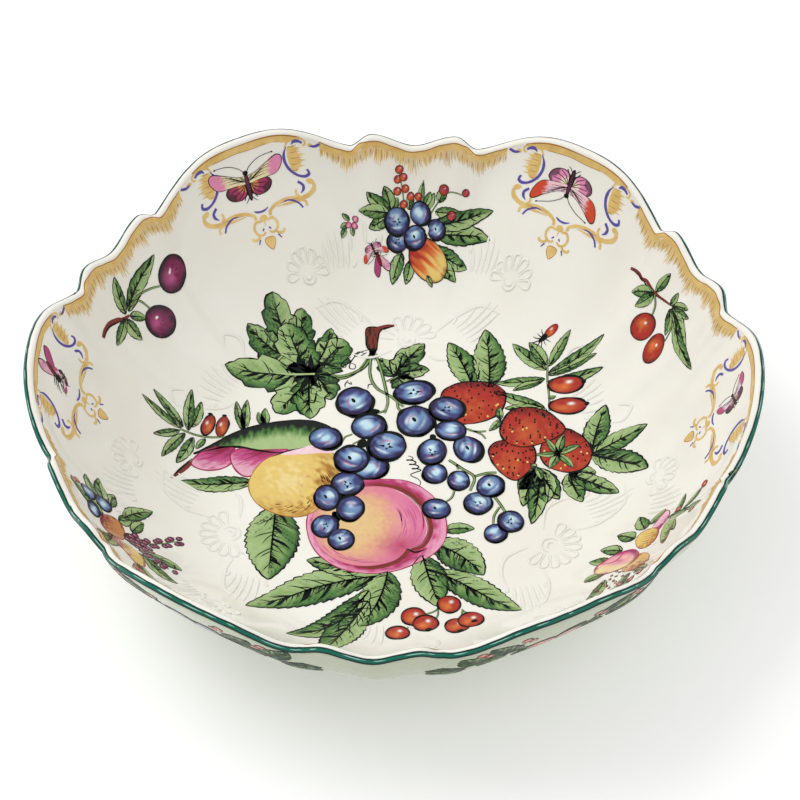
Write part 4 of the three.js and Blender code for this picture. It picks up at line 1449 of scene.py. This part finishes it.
def red_cherries(degrees):
    cv = strip_canvas("cherries_%d" % degrees, degrees, level=True)
    at = spotter(30)
    cv.stroke("bark", [at(43, 21), at(41, 19), at(39.4, 21.4), at(38, 22.4), at(35, 22.6),
                       at(31, 18.4)], 1.3, BROWN, 3, ends=(0.8, 0.4))
    cv.stroke("ink", [at(43, 21.4), at(41, 19.6), at(38.4, 23), at(35, 23.1), at(31.2, 19)], 0.5,
              level=4)
    leaves(cv, at, [(35, 22, 34.4, 12, 1.8), (35.4, 23, 39.9, 27.2, 2.3), (35.2, 23.4, 37.2, 32.8, 2.3),
                    (31, 18.6, 31, 12.6, 1.3), (30.6, 18.2, 26.6, 15.2, 1.6),
                    (30.4, 18.6, 25, 18.2, 1.4), (30.4, 19, 21, 25, 2.6), (29.4, 19.6, 16.3, 27.4, 2.6),
                    (30.6, 19.4, 27.4, 28.4, 2.1)], 3)
    stem(cv, [at(35, 23), at(33.6, 25), at(32.8, 29)], 0.6, 5)
    stem(cv, [at(29.4, 20), at(27.4, 24.6), at(26.3, 30.6)], 0.6, 5)
    cherry(cv, *at(33, 33.4), 5.2, 5.6, 0, 7, 2, red=True)
    cherry(cv, *at(27.2, 35.2), 5.6, 5.8, 18, 7, 4, red=True)


def left_bouquet(degrees):
    cv = strip_canvas("bouquet_%d" % degrees, degrees, level=True)
    at = spotter(210)
    string = [(211, 40), (210.6, 43), (210.3, 46), (210, 49), (209.6, 52), (209.2, 55), (209, 57.4)]
    second = [(214, 36), (215.4, 38), (217, 40), (218, 42.4), (219.4, 44.4)]
    stem(cv, [at(a, v) for a, v in string], 0.4, 1)
    stem(cv, [at(a, v) for a, v in second], 0.4, 1)
    leaves(cv, at, [
        (211.4, 24, 218.4, 9.8, 3.2), (207, 26, 202, 12, 2.6), (203, 27, 196.4, 24.6, 2.6),
        (203, 30, 195.6, 32.2, 3.0), (203.4, 33, 198.4, 36, 2.6),
        (206, 34, 205, 42, 2.6), (205, 38, 199.8, 52.6, 3.6), (216, 34, 224.2, 43, 3.0),
        (214, 37, 219.6, 50.4, 3.2), (213, 22, 213.4, 13, 2.2),
        (220, 26, 226.4, 31, 2.4), (220, 25, 225.8, 18.6, 1.8), (208, 38, 204.6, 48, 2.6),
    ])
    dark = dict(base=rgb("6E1F46"), deep=rgb("1C0A14"), pale=rgb("B0527E"))
    for i, (a, v) in enumerate(string + second):
        berry(cv, *at(a + 0.9 * (-1) ** i, v), 1.5, 1.5, 0, 5 + i % 3, i, **dark)
        berry(cv, *at(a - 0.8 * (-1) ** i, v + 1.2), 1.3, 1.3, 0, 8 + i % 3, i, **dark)
    for i in range(14):
        middle = np.array(at(211.6, 37.5))
        a, d = 2.4 * i, 1.6 * math.sqrt(i + 0.5)
        berry(cv, *(middle + (d * math.cos(a), 0.9 * d * math.sin(a))), 1.5, 1.5, 0, 13 + i % 3, i,
              **dark)
    melon(cv, *at(216.4, 28.6), 8.2, 5.8, 12, MAGENTA, YELLOW, 6, 2)
    melon(cv, *at(208.8, 27), 6.2, 6.4, 200, rgb("7A2430"), rgb("C98A50"), 8, 4)
    grape(cv, *at(202.4, 22.6), 3.6, 3.8, 0, 10, 2)
    grape(cv, *at(203.4, 29.8), 3.8, 4.0, 0, 12, 5)
    grape(cv, *at(206.2, 20.6), 3.4, 3.5, 0, 7, 8)
    cherry(cv, *at(210.6, 34.8), 3.7, 3.6, 0, 12, 3)
    currants(cv, at, [(222, 23), (223.2, 25), (221.6, 21), (201.5, 14), (200.8, 16)], 1.5, 7)


def right_bouquet(degrees):
    cv = strip_canvas("bouquet_%d" % degrees, degrees, level=True)
    at = spotter(330)
    stem(cv, [at(340, 40), at(341, 28), at(340, 18)], 0.5, 1)
    stem(cv, [at(328, 34), at(323, 28), at(320.6, 25)], 0.5, 1)
    leaves(cv, at, [
        (338.6, 46, 343.6, 52, 2.8), (336, 49, 338, 58.6, 3.2), (340, 43, 343.8, 40, 2.2),
        (333, 50, 333, 60, 3.0), (330, 51, 328.6, 60, 3.0),
        (325, 50, 321.2, 55.6, 2.8), (322, 46, 315, 44, 3.0), (340.6, 34, 340, 22.6, 2.0),
        (338, 34, 335, 26.6, 2.2), (340.4, 24, 340, 15.6, 1.8),
        (341, 27, 345, 23, 1.5), (323, 33, 317, 31, 2.4), (325, 33, 322.6, 22, 2.0),
        (321, 28, 316.4, 24.4, 1.8), (341, 31, 345.6, 33, 1.4),
    ])
    melon(cv, *at(327.6, 35.6), 8.4, 5.4, 30, rgb("C9803C"), rgb("E3BE78"), 5, 6)
    melon(cv, *at(336.4, 32.6), 8.2, 2.7, 4, LEAF_DEEP, LEAF_PALE, 7, 3)
    melon(cv, *at(339.6, 38), 7.6, 3.0, 8, MAGENTA, ROSE, 8, 5)
    melon(cv, *at(335.4, 42), 5.4, 5.8, 0, OCHRE, YELLOW, 9, 7)
    heart = np.array(at(328.6, 46.6))
    blushed(cv, *heart, 9.4, 7.6, -25, 11, 9)
    for i in range(46):
        a, d = 2.4 * i, 1.75 * math.sqrt(i + 0.5)
        spot = np.array(at(321.6, 37.5)) + (1.25 * d * math.cos(a), 0.8 * d * math.sin(a))
        kind = dict(base=RED_DEEP) if i % 3 else dict(base=BROWN_SOFT)
        berry(cv, *spot, 0.75, 0.6, 40 * i, 7 + i % 3, i, **kind)
    currants(cv, at, [(342, 30.6), (320, 31), (322, 24), (320.6, 25.6), (345.4, 22.6), (338.4, 21)],
             1.5, 7)


# ---------------------------------------------------------------- outside
def outside_spray(degrees, kind):
    """A leafy branch on the outside wall, with a flower or fruit at its heart. Its leaves are painted
    darker, partly their own deep green and partly painted shade.
    """
    cv = strip_canvas("outside_%d" % degrees, degrees, OUTSIDE, True).moved(0, -25, 1.3, 0, kind == 1)
    stalk = [(-27, -4), (-15, 2), (0, -1), (14, 3), (26, -3)]
    stem(cv, stalk, 1.0, 2)
    path = spline(stalk, pitch=1)
    for i in range(10):
        k = int((i + 0.6) / 10.4 * len(path))
        side = 1 if i % 2 else -1
        ahead = 1 if path[k][0] > 0 else -1
        reach = 8.4 + 2.2 * math.sin(i * 1.9 + kind)
        tip = path[k] + np.array([ahead * reach * 0.85, side * reach * 0.9])
        # tone 0.5 paints these outside leaves darker: partly their own deep green, partly painted
        # shade.
        leaf(cv, path[k], tip, 3.5 + 0.5 * math.sin(i), 0.1 * side, 7, side, 0.5, 3 + i % 3, i)
    # These end leaves are darkened the same way by tone 0.5, partly as painted shade.
    for side in (-1, 1):
        leaf(cv, (side * 24, -2.4), (side * 34, -4.6 + side), 3.2, 0.08, 7, side, 0.5, 4, side + 2)
    if kind == 0:
        petals = 6
        for i in range(petals):
            a = 2 * math.pi * i / petals
            petal = (3.3 * math.cos(a), 3.3 * math.sin(a), 2.9, 2.2, math.degrees(a), 7 + i % 2, i)
            berry(cv, *petal, base=rgb("D65C8E"), deep=rgb("A5305F"), pale=ROSE)
        berry(cv, 0, 0, 1.7, 1.7, 0, 10, 3, base=YELLOW, deep=OCHRE, pale=rgb("F6E7A8"))
    elif kind == 1:
        grape(cv, -3.2, 0, 4.4, 4.8, 0, 7, 3)
        grape(cv, 3.6, 1.4, 4.0, 4.4, 0, 9, 6)
    else:
        cherry(cv, -3.4, -2, 4.2, 4.0, 0, 7, 2, red=True)
        cherry(cv, 4.2, -1, 4.0, 4.0, 0, 9, 4, red=True)
    for i, x in enumerate((-21, -10, 10, 20)):
        y = 8 + 1.5 * math.sin(x)
        stem(cv, [(x - 1, 1), (x, 4), (x + 0.4, y)], 0.4, 2)
        berry(cv, x + 0.4, y + 1, 1.4, 1.4, 0, 5, i)
        berry(cv, x + 2.4, y - 1, 1.2, 1.2, 0, 6, i + 2)


# ---------------------------------------------------------------- moulded relief
RIB_HEIGHT = 0.42  # how far a moulded rib stands out of the glaze
RIB_WIDTH = 1.5
PETAL = ((0.42, -0.6), (0.8, -0.95), (0.97, -0.6), (1.0, 0), (0.97, 0.6), (0.8, 0.95), (0.42, 0.6))


def shell(cv, x, y, turn, radius, petals, spread=220):
    """Rounded petals round a boss, like a scallop shell, each drawn by a raised edge."""
    part = cv.moved(x, y, 1, turn)
    wide = math.radians(spread / petals) * 0.42
    for i in range(petals):
        a = math.radians(90 - spread / 2 + spread * (i + 0.5) / petals)
        petal = [(radius * k, a + w * wide) for k, w in PETAL]
        loop = [(r * math.cos(b), r * math.sin(b)) for r, b in petal]
        part.ridge("relief", loop, 0.95, RIB_HEIGHT, pitch=0.6)
    for reach in (0.3, 0.12):
        turns = np.radians(np.linspace(-200, 20, 7))
        hook = [(reach * radius * math.cos(a), reach * radius * math.sin(a)) for a in turns]
        part.ridge("relief", hook, 1.3, RIB_HEIGHT, pitch=0.6)


def rib_fan(cv, x, y, turn, ribs, length, gap, open_by):
    """A row of long ribs side by side, the middle ones longest."""
    part = cv.moved(x, y, 1, turn)
    for i in range(ribs):
        k = i - (ribs - 1) / 2
        reach = length * (1 - 0.09 * k * k / (ribs / 7) ** 2)
        lean = open_by * k
        rib = [(k * gap, 0), (k * gap + 0.4 * lean, reach * 0.5), (k * gap + 1.2 * lean, reach)]
        part.ridge("relief", rib, RIB_WIDTH, RIB_HEIGHT)


def scroll(cv, points, width=1.4):
    cv.ridge("relief", points, width, RIB_HEIGHT)


def relief():
    """The moulded shells, rib fans and scrolls of the floor and the wall, three times round."""
    cv = floor_canvas("moulded")
    for bracket in (90, 210, 330):
        turned = cv.moved(turn=bracket - 90)
        shell(turned, 0, 66, 0, 11, 9)
        for side in (-1, 1):
            a = math.radians(90 + side * 17)
            rib_fan(turned, 72 * math.cos(a), 72 * math.sin(a), side * 50, 7, 17, 2.1, 0.5)
            scroll(turned, [(side * 5, 60), (side * 13, 56), (side * 20, 58), (side * 25, 64)])
            scroll(turned, [(side * 11, 70), (side * 17, 76), (side * 27, 80), (side * 35, 76)])
            shell(turned, side * 38, 86, -side * 24, 8, 7, 200)
            rib_fan(turned, side * 27, 91, -side * 14, 7, 11, 1.9, 0.5)
        for angle in np.radians(90 - 13 + np.arange(9) * 3.25):
            rib = [(r * math.cos(angle), r * math.sin(angle)) for r in (100, 107)]
            turned.ridge("relief", rib, RIB_WIDTH, RIB_HEIGHT)
        between = cv.moved(turn=bracket - 150)
        rib_fan(between, 0, 73, 0, 9, 12, 2.2, 0.9)
        scroll(between, [(-15, 77), (-8, 70), (0, 68), (8, 70), (15, 77)])
        for side in (-1, 1):
            scroll(between, [(side * 15, 77), (side * 20, 83), (side * 17, 88), (side * 13, 85)])


# ---------------------------------------------------------------- meshes
def new_object(name, points, faces, smooth=True):
    mesh = bpy.data.meshes.new(name)
    mesh.from_pydata([tuple(p) for p in np.asarray(points) * MM], [], faces)
    mesh.update()
    obj = bpy.data.objects.new(name, mesh)
    bpy.context.scene.collection.objects.link(obj)
    if smooth:
        mesh.shade_smooth()
        mesh.set_sharp_from_angle(angle=math.radians(50))
    return obj


def rim_columns():
    """Angles round the rim, with one at each kink of its outline."""
    half = np.concatenate([
        np.linspace(0, VALLEY_ANGLE, 34, endpoint=False),
        np.linspace(VALLEY_ANGLE, CUSP_ANGLE, 14, endpoint=False),
        np.linspace(CUSP_ANGLE, HALF_SECTOR, 16, endpoint=False),
    ])
    sector = np.concatenate([half, SECTOR - np.append(half[1:], HALF_SECTOR)[::-1]])
    return [(SECTOR * lobe + at, min(at, SECTOR - at)) for lobe in range(LOBES) for at in sector]


SECTION_STEPS = (42, 8, 12)  # of the body's mesh: down the wall, over half the lip, over the floor
LIP_RINGS = 5  # from the crest outwards, coloured like the inside, without the outside's painted shade


def bowl_mesh():
    """The whole body: underside, outside wall, lip, inside wall, floor. Its "outer" attribute is 1
    where the outside's painted shade goes."""
    columns = rim_columns()
    points = []
    for degrees, offset in columns:
        outer = skin_section(offset, "outside", *SECTION_STEPS)
        inner = skin_section(offset, "inside", *SECTION_STEPS)
        r = np.concatenate([outer[0][::-1][1:], inner[0][1:-1]])
        z = np.concatenate([outer[1][::-1][1:], inner[1][1:-1]])
        rings = len(r)
        turn = math.radians(degrees)
        points.append(np.stack([r * math.cos(turn), r * math.sin(turn), z], 1))
    count = len(columns)
    points = np.vstack(points + [[[0, 0, FOOT_HEIGHT]], [[0, 0, FLOOR]]])
    under, over = count * rings, count * rings + 1
    faces = []
    for i in range(count):
        a, b = i * rings, (i + 1) % count * rings
        faces.append((under, b, a))
        faces.extend((a + k, b + k, b + k + 1, a + k + 1) for k in range(rings - 1))
        faces.append((over, a + rings - 1, b + rings - 1))
    bowl = new_object("bowl_porcelain", points, faces)
    # Where the painted shade goes: the outside wall, coloured a darker grey green as if in shade.
    shaded_glaze = np.zeros((count, rings))
    shaded_glaze[:, : len(outer[0]) - 1 - LIP_RINGS] = 1
    side = bowl.data.attributes.new("outer", "FLOAT", "POINT")
    side.data.foreach_set("value", np.append(shaded_glaze.ravel(), [1, 0]).astype(np.float32))
    return bowl


def foot_mesh(columns=240):
    """The foot ring with rounded edges beside its resting face."""
    inner = FOOT_RADIUS - FOOT_LAND - 2 * FOOT_EDGE
    bend = np.linspace(0, math.pi / 2, 7)
    side = FOOT_HEIGHT - FOOT_EDGE
    outline = [(FOOT_RADIUS - FOOT_EDGE * (1 - math.sin(a)), FOOT_EDGE * (1 - math.cos(a)))
               for a in bend]
    outline += [(FOOT_RADIUS + FOOT_TAPER * k, FOOT_EDGE + side * k) for k in (0.3, 0.65, 1)]
    outline += [(inner - FOOT_TAPER * k, FOOT_EDGE + side * k) for k in (1, 0.65, 0.3)]
    outline += [(inner + FOOT_EDGE * (1 - math.cos(a)), FOOT_EDGE * (1 - math.sin(a))) for a in bend]
    n = len(outline)
    turns = np.linspace(0, 2 * math.pi, columns, endpoint=False)
    points = [(r * math.cos(a), r * math.sin(a), z) for a in turns for r, z in outline]
    faces = []
    for i in range(columns):
        a, b = i * n, (i + 1) % columns * n
        faces.extend((a + k, b + k, b + (k + 1) % n, a + (k + 1) % n) for k in range(n))
    return new_object("foot_porcelain", points, faces)


# ---------------------------------------------------------------- materials
def node_material(name):
    material = bpy.data.materials.new(name)
    material.use_nodes = True
    nodes = material.node_tree.nodes
    return material, nodes, material.node_tree.links, nodes["Principled BSDF"]


def noise(nodes, links, scale, detail):
    """Procedural noise in the bowl's own frame."""
    place = nodes.new("ShaderNodeTexCoord")
    texture = nodes.new("ShaderNodeTexNoise")
    links.new(place.outputs["Object"], texture.inputs["Vector"])
    texture.inputs["Scale"].default_value = scale
    texture.inputs["Detail"].default_value = detail
    return texture.outputs["Fac"]


def ranged(nodes, links, source, low, high, start=0.3, end=0.7):
    span = nodes.new("ShaderNodeMapRange")
    links.new(source, span.inputs["Value"])
    span.inputs["From Min"].default_value = start
    span.inputs["From Max"].default_value = end
    span.inputs["To Min"].default_value = low
    span.inputs["To Max"].default_value = high
    return span.outputs["Result"]


def bump(nodes, links, shader, source, distance, strength=1.0):
    node = nodes.new("ShaderNodeBump")
    node.inputs["Distance"].default_value = distance
    node.inputs["Strength"].default_value = strength
    links.new(source, node.inputs["Height"])
    links.new(node.outputs["Normal"], shader.inputs["Normal"])


def mixed(nodes, links, factor, a, b, kind="MIX"):
    """A mix of two colours. The first may be another node's output."""
    mix = nodes.new("ShaderNodeMix")
    mix.data_type = "RGBA"
    mix.blend_type = kind
    links.new(factor, mix.inputs["Factor"])
    if isinstance(a, bpy.types.NodeSocket):
        links.new(a, mix.inputs["A"])
    else:
        mix.inputs["A"].default_value = (*a, 1)
    mix.inputs["B"].default_value = (*b, 1)
    return mix.outputs["Result"]


def porcelain():
    """Clear gloss glaze over warm white paste: faint clouding, slight ripple. The outside wall is
    coloured a darker grey green as painted shade.
    """
    material, nodes, links, shader = node_material("glazed_porcelain")
    cloud = noise(nodes, links, 28, 4)
    tone = ranged(nodes, links, cloud, 0, 1)
    colour = mixed(nodes, links, tone, rgb("F4F2EA"), rgb("EEEBE0"))
    # Painted shade: where "outer" is 1 the outside wall takes a darker grey green, as if in shade.
    side = nodes.new("ShaderNodeAttribute")
    side.attribute_name = "outer"
    colour = mixed(nodes, links, side.outputs["Fac"], colour, rgb("A9B096"))
    links.new(colour, shader.inputs["Base Color"])
    wear = noise(nodes, links, 160, 3)
    links.new(ranged(nodes, links, wear, 0.07, 0.14), shader.inputs["Roughness"])
    ripple = noise(nodes, links, 75, 2)
    bump(nodes, links, shader, ripple, 0.00012, 0.35)
    shader.inputs["IOR"].default_value = 1.52
    shader.inputs["Subsurface Weight"].default_value = 0.08
    shader.inputs["Subsurface Radius"].default_value = (0.004, 0.003, 0.002)
    shader.inputs["Subsurface Scale"].default_value = 0.5
    return material


def bisque():
    """The foot: glazed on its sides, bare and ground where it rests."""
    material, nodes, links, shader = node_material("foot_porcelain")
    place = nodes.new("ShaderNodeTexCoord")
    split = nodes.new("ShaderNodeSeparateXYZ")
    links.new(place.outputs["Object"], split.inputs["Vector"])
    edge = noise(nodes, links, 300, 4)
    height = nodes.new("ShaderNodeMath")
    height.operation = "MULTIPLY_ADD"
    links.new(edge, height.inputs[0])
    height.inputs[1].default_value = 0.0007
    links.new(split.outputs["Z"], height.inputs[2])
    glazed = ranged(nodes, links, height.outputs[0], 0, 1, 0.0009, 0.0012)
    colour = mixed(nodes, links, glazed, rgb("D9CDBB"), rgb("F1EDE3"))
    links.new(colour, shader.inputs["Base Color"])
    links.new(ranged(nodes, links, glazed, 0.6, 0.1, 0, 1), shader.inputs["Roughness"])
    sand = noise(nodes, links, 900, 3)
    bump(nodes, links, shader, sand, 0.00008, 0.3)
    return material


def enamel(name, colour=None, rough=(0.14, 0.28), shine=0.3):
    """Overglaze colour laid on by brush. Without a colour it shows the coat's painted one."""
    material, nodes, links, shader = node_material(name)
    brush = noise(nodes, links, 420, 4)
    if colour is None:
        paint = nodes.new("ShaderNodeAttribute")
        paint.attribute_name = "paint"
        thin = ranged(nodes, links, brush, 0.0, 0.5)
        tint = mixed(nodes, links, thin, paint.outputs["Color"], (0.82, 0.82, 0.8), "MULTIPLY")
        links.new(tint, shader.inputs["Base Color"])
    else:
        shader.inputs["Base Color"].default_value = (*colour, 1)
    links.new(ranged(nodes, links, brush, *rough), shader.inputs["Roughness"])
    relief = noise(nodes, links, 700, 2)
    bump(nodes, links, shader, relief, 0.00003, 0.5)
    shader.inputs["Specular IOR Level"].default_value = shine
    return material


def gilding():
    """Burnished ochre gold, brushed on, a little thin in places."""
    material, nodes, links, shader = node_material("gilding")
    streak = noise(nodes, links, 260, 5)
    tone = ranged(nodes, links, streak, 0, 1)
    colour = mixed(nodes, links, tone, rgb("EBCB82"), rgb("D8B264"))
    links.new(colour, shader.inputs["Base Color"])
    links.new(ranged(nodes, links, streak, 0.24, 0.42), shader.inputs["Roughness"])
    shader.inputs["Metallic"].default_value = 0.15
    bump(nodes, links, shader, streak, 0.00004, 0.5)
    return material


FLOOR_GLOW = 0.22  # keeps the pale floor evenly light where the lamps fall off


def floor_material():
    material, nodes, links, shader = node_material("studio_floor")
    cloud = noise(nodes, links, 6, 3)
    tone = ranged(nodes, links, cloud, 0, 1)
    colour = mixed(nodes, links, tone, (0.93, 0.93, 0.93), (0.9, 0.9, 0.9))
    links.new(colour, shader.inputs["Base Color"])
    shader.inputs["Emission Color"].default_value = (1, 1, 1, 1)
    shader.inputs["Emission Strength"].default_value = FLOOR_GLOW
    shader.inputs["Roughness"].default_value = 0.8
    return material


# ---------------------------------------------------------------- the studio
CAMERA_AZIMUTH = 4.3
CAMERA_ELEVATION = 47.1
CAMERA_ROLL = -1.2
CAMERA_DISTANCE = 1.247
CAMERA_TARGET = Vector((0.0015, 0.0081, 0.040))
LENS = 156.5
ROOM_LIGHT = 0.72
FLOOR_HALF = 6.0
LAMPS = (  # name, place, size, power
    ("key", (-1.05, 0.45, 1.3), 1.2, 14.0),
    ("fill", (1.2, -0.4, 1.1), 1.6, 3.5),
)


def studio():
    az, el = math.radians(CAMERA_AZIMUTH), math.radians(CAMERA_ELEVATION)
    back = Vector((math.sin(az) * math.cos(el), -math.cos(az) * math.cos(el), math.sin(el)))
    right = Vector((math.cos(az), math.sin(az), 0))
    up = back.cross(right)
    turned = Matrix.Rotation(math.radians(CAMERA_ROLL), 3, back)
    right, up = turned @ right, turned @ up
    data = bpy.data.cameras.new("camera")
    data.lens = LENS
    data.sensor_width = 36
    data.clip_start = 0.01
    camera = bpy.data.objects.new("camera", data)
    bpy.context.scene.collection.objects.link(camera)
    axes = Matrix((right, up, back)).transposed().to_4x4()
    camera.matrix_world = Matrix.Translation(CAMERA_TARGET + back * CAMERA_DISTANCE) @ axes
    bpy.context.scene.camera = camera

    world = bpy.data.worlds.new("studio")
    world.use_nodes = True
    background = world.node_tree.nodes["Background"]
    background.inputs["Color"].default_value = (1, 1, 1, 1)
    background.inputs["Strength"].default_value = ROOM_LIGHT
    bpy.context.scene.world = world
    bpy.context.scene.view_settings.view_transform = "Standard"

    for name, place, size, power in LAMPS:
        light = bpy.data.lights.new(name, "AREA")
        light.size = size
        light.energy = power
        lamp = bpy.data.objects.new(name, light)
        lamp.location = place
        lamp.rotation_euler = (-Vector(place)).to_track_quat("-Z", "Y").to_euler()
        lamp.visible_glossy = name != "key"
        bpy.context.scene.collection.objects.link(lamp)

    mesh = bpy.data.meshes.new("studio_floor")
    corners = [(x * FLOOR_HALF, y * FLOOR_HALF, 0) for x, y in ((-1, -1), (1, -1), (1, 1), (-1, 1))]
    mesh.from_pydata(corners, [], [(0, 1, 2, 3)])
    floor = bpy.data.objects.new("studio_floor", mesh)
    mesh.materials.append(floor_material())
    bpy.context.scene.collection.objects.link(floor)


# ---------------------------------------------------------------- assembly
def dress(obj, material, slot):
    obj.data.materials.append(material)
    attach(obj, "root")
    return obj


def lay_coats(materials):
    """Makes every gathered coat into a piece of its own."""
    for name, coat in sorted(COATS.items()):
        obj = new_object(name, np.vstack(coat.points), coat.faces)
        colours = np.vstack(coat.colours)
        paint = obj.data.color_attributes.new("paint", "FLOAT_COLOR", "POINT")
        rgba = np.hstack([colours, np.ones((len(colours), 1))]).astype(np.float32)
        paint.data.foreach_set("color", rgba.ravel())
        kind = name.rsplit("_", 1)[1]
        material, slot = materials[kind]
        dress(obj, material, slot)


def main():
    studio()
    shaded_glaze = porcelain()
    bowl = dress(bowl_mesh(), shaded_glaze, "porcelain")
    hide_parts("bowl_body")
    foot = dress(foot_mesh(), bisque(), "foot_porcelain")
    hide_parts("foot_ring")
    centre_bouquet()
    rim_line()
    gilt_edge()
    lobes()
    top_bouquet(90)
    dark_cherries(150)
    dark_cherries(270)
    red_cherries(30)
    left_bouquet(210)
    right_bouquet(330)
    relief()
    for i in range(LOBES):
        outside_spray(SECTOR * i, i % 3)
    painted = enamel("painted_enamel")
    materials = {
        "leaves": (painted, "enamel"),
        "fruit": (painted, "enamel"),
        "paint": (painted, "enamel"),
        "ink": (enamel("ink_enamel", INK, (0.25, 0.45), 0.12), "enamel"),
        "brown": (enamel("brown_enamel", rgb("A8702C")), "enamel"),
        "bark": (enamel("bark_enamel", BROWN), "enamel"),
        "umber": (enamel("umber_enamel", rgb("4A2A12"), shine=0.15), "enamel"),
        "crimson": (enamel("crimson_enamel", rgb("A02850")), "enamel"),
        "blush": (enamel("blush_enamel", rgb("C8648F")), "enamel"),
        "violet": (enamel("violet_enamel", rgb("5A4FA0")), "enamel"),
        # The pale teal of the rim line's painted highlights, streaks that stand in for glints of light.
        "shine": (enamel("painted_highlight_enamel", rgb("9CCDBF")), "enamel"),
        "shade": (enamel("outer_enamel", None, (0.3, 0.5), 0.1), "enamel"),
        "teal": (enamel("teal_enamel", TEAL, (0.12, 0.22), 0.25), "enamel"),
        "pine": (enamel("pine_enamel", PINE), "enamel"),
        "relief": (shaded_glaze, "porcelain"),
        "gold": (gilding(), "gilding"),
    }
    lay_coats(materials)


main()
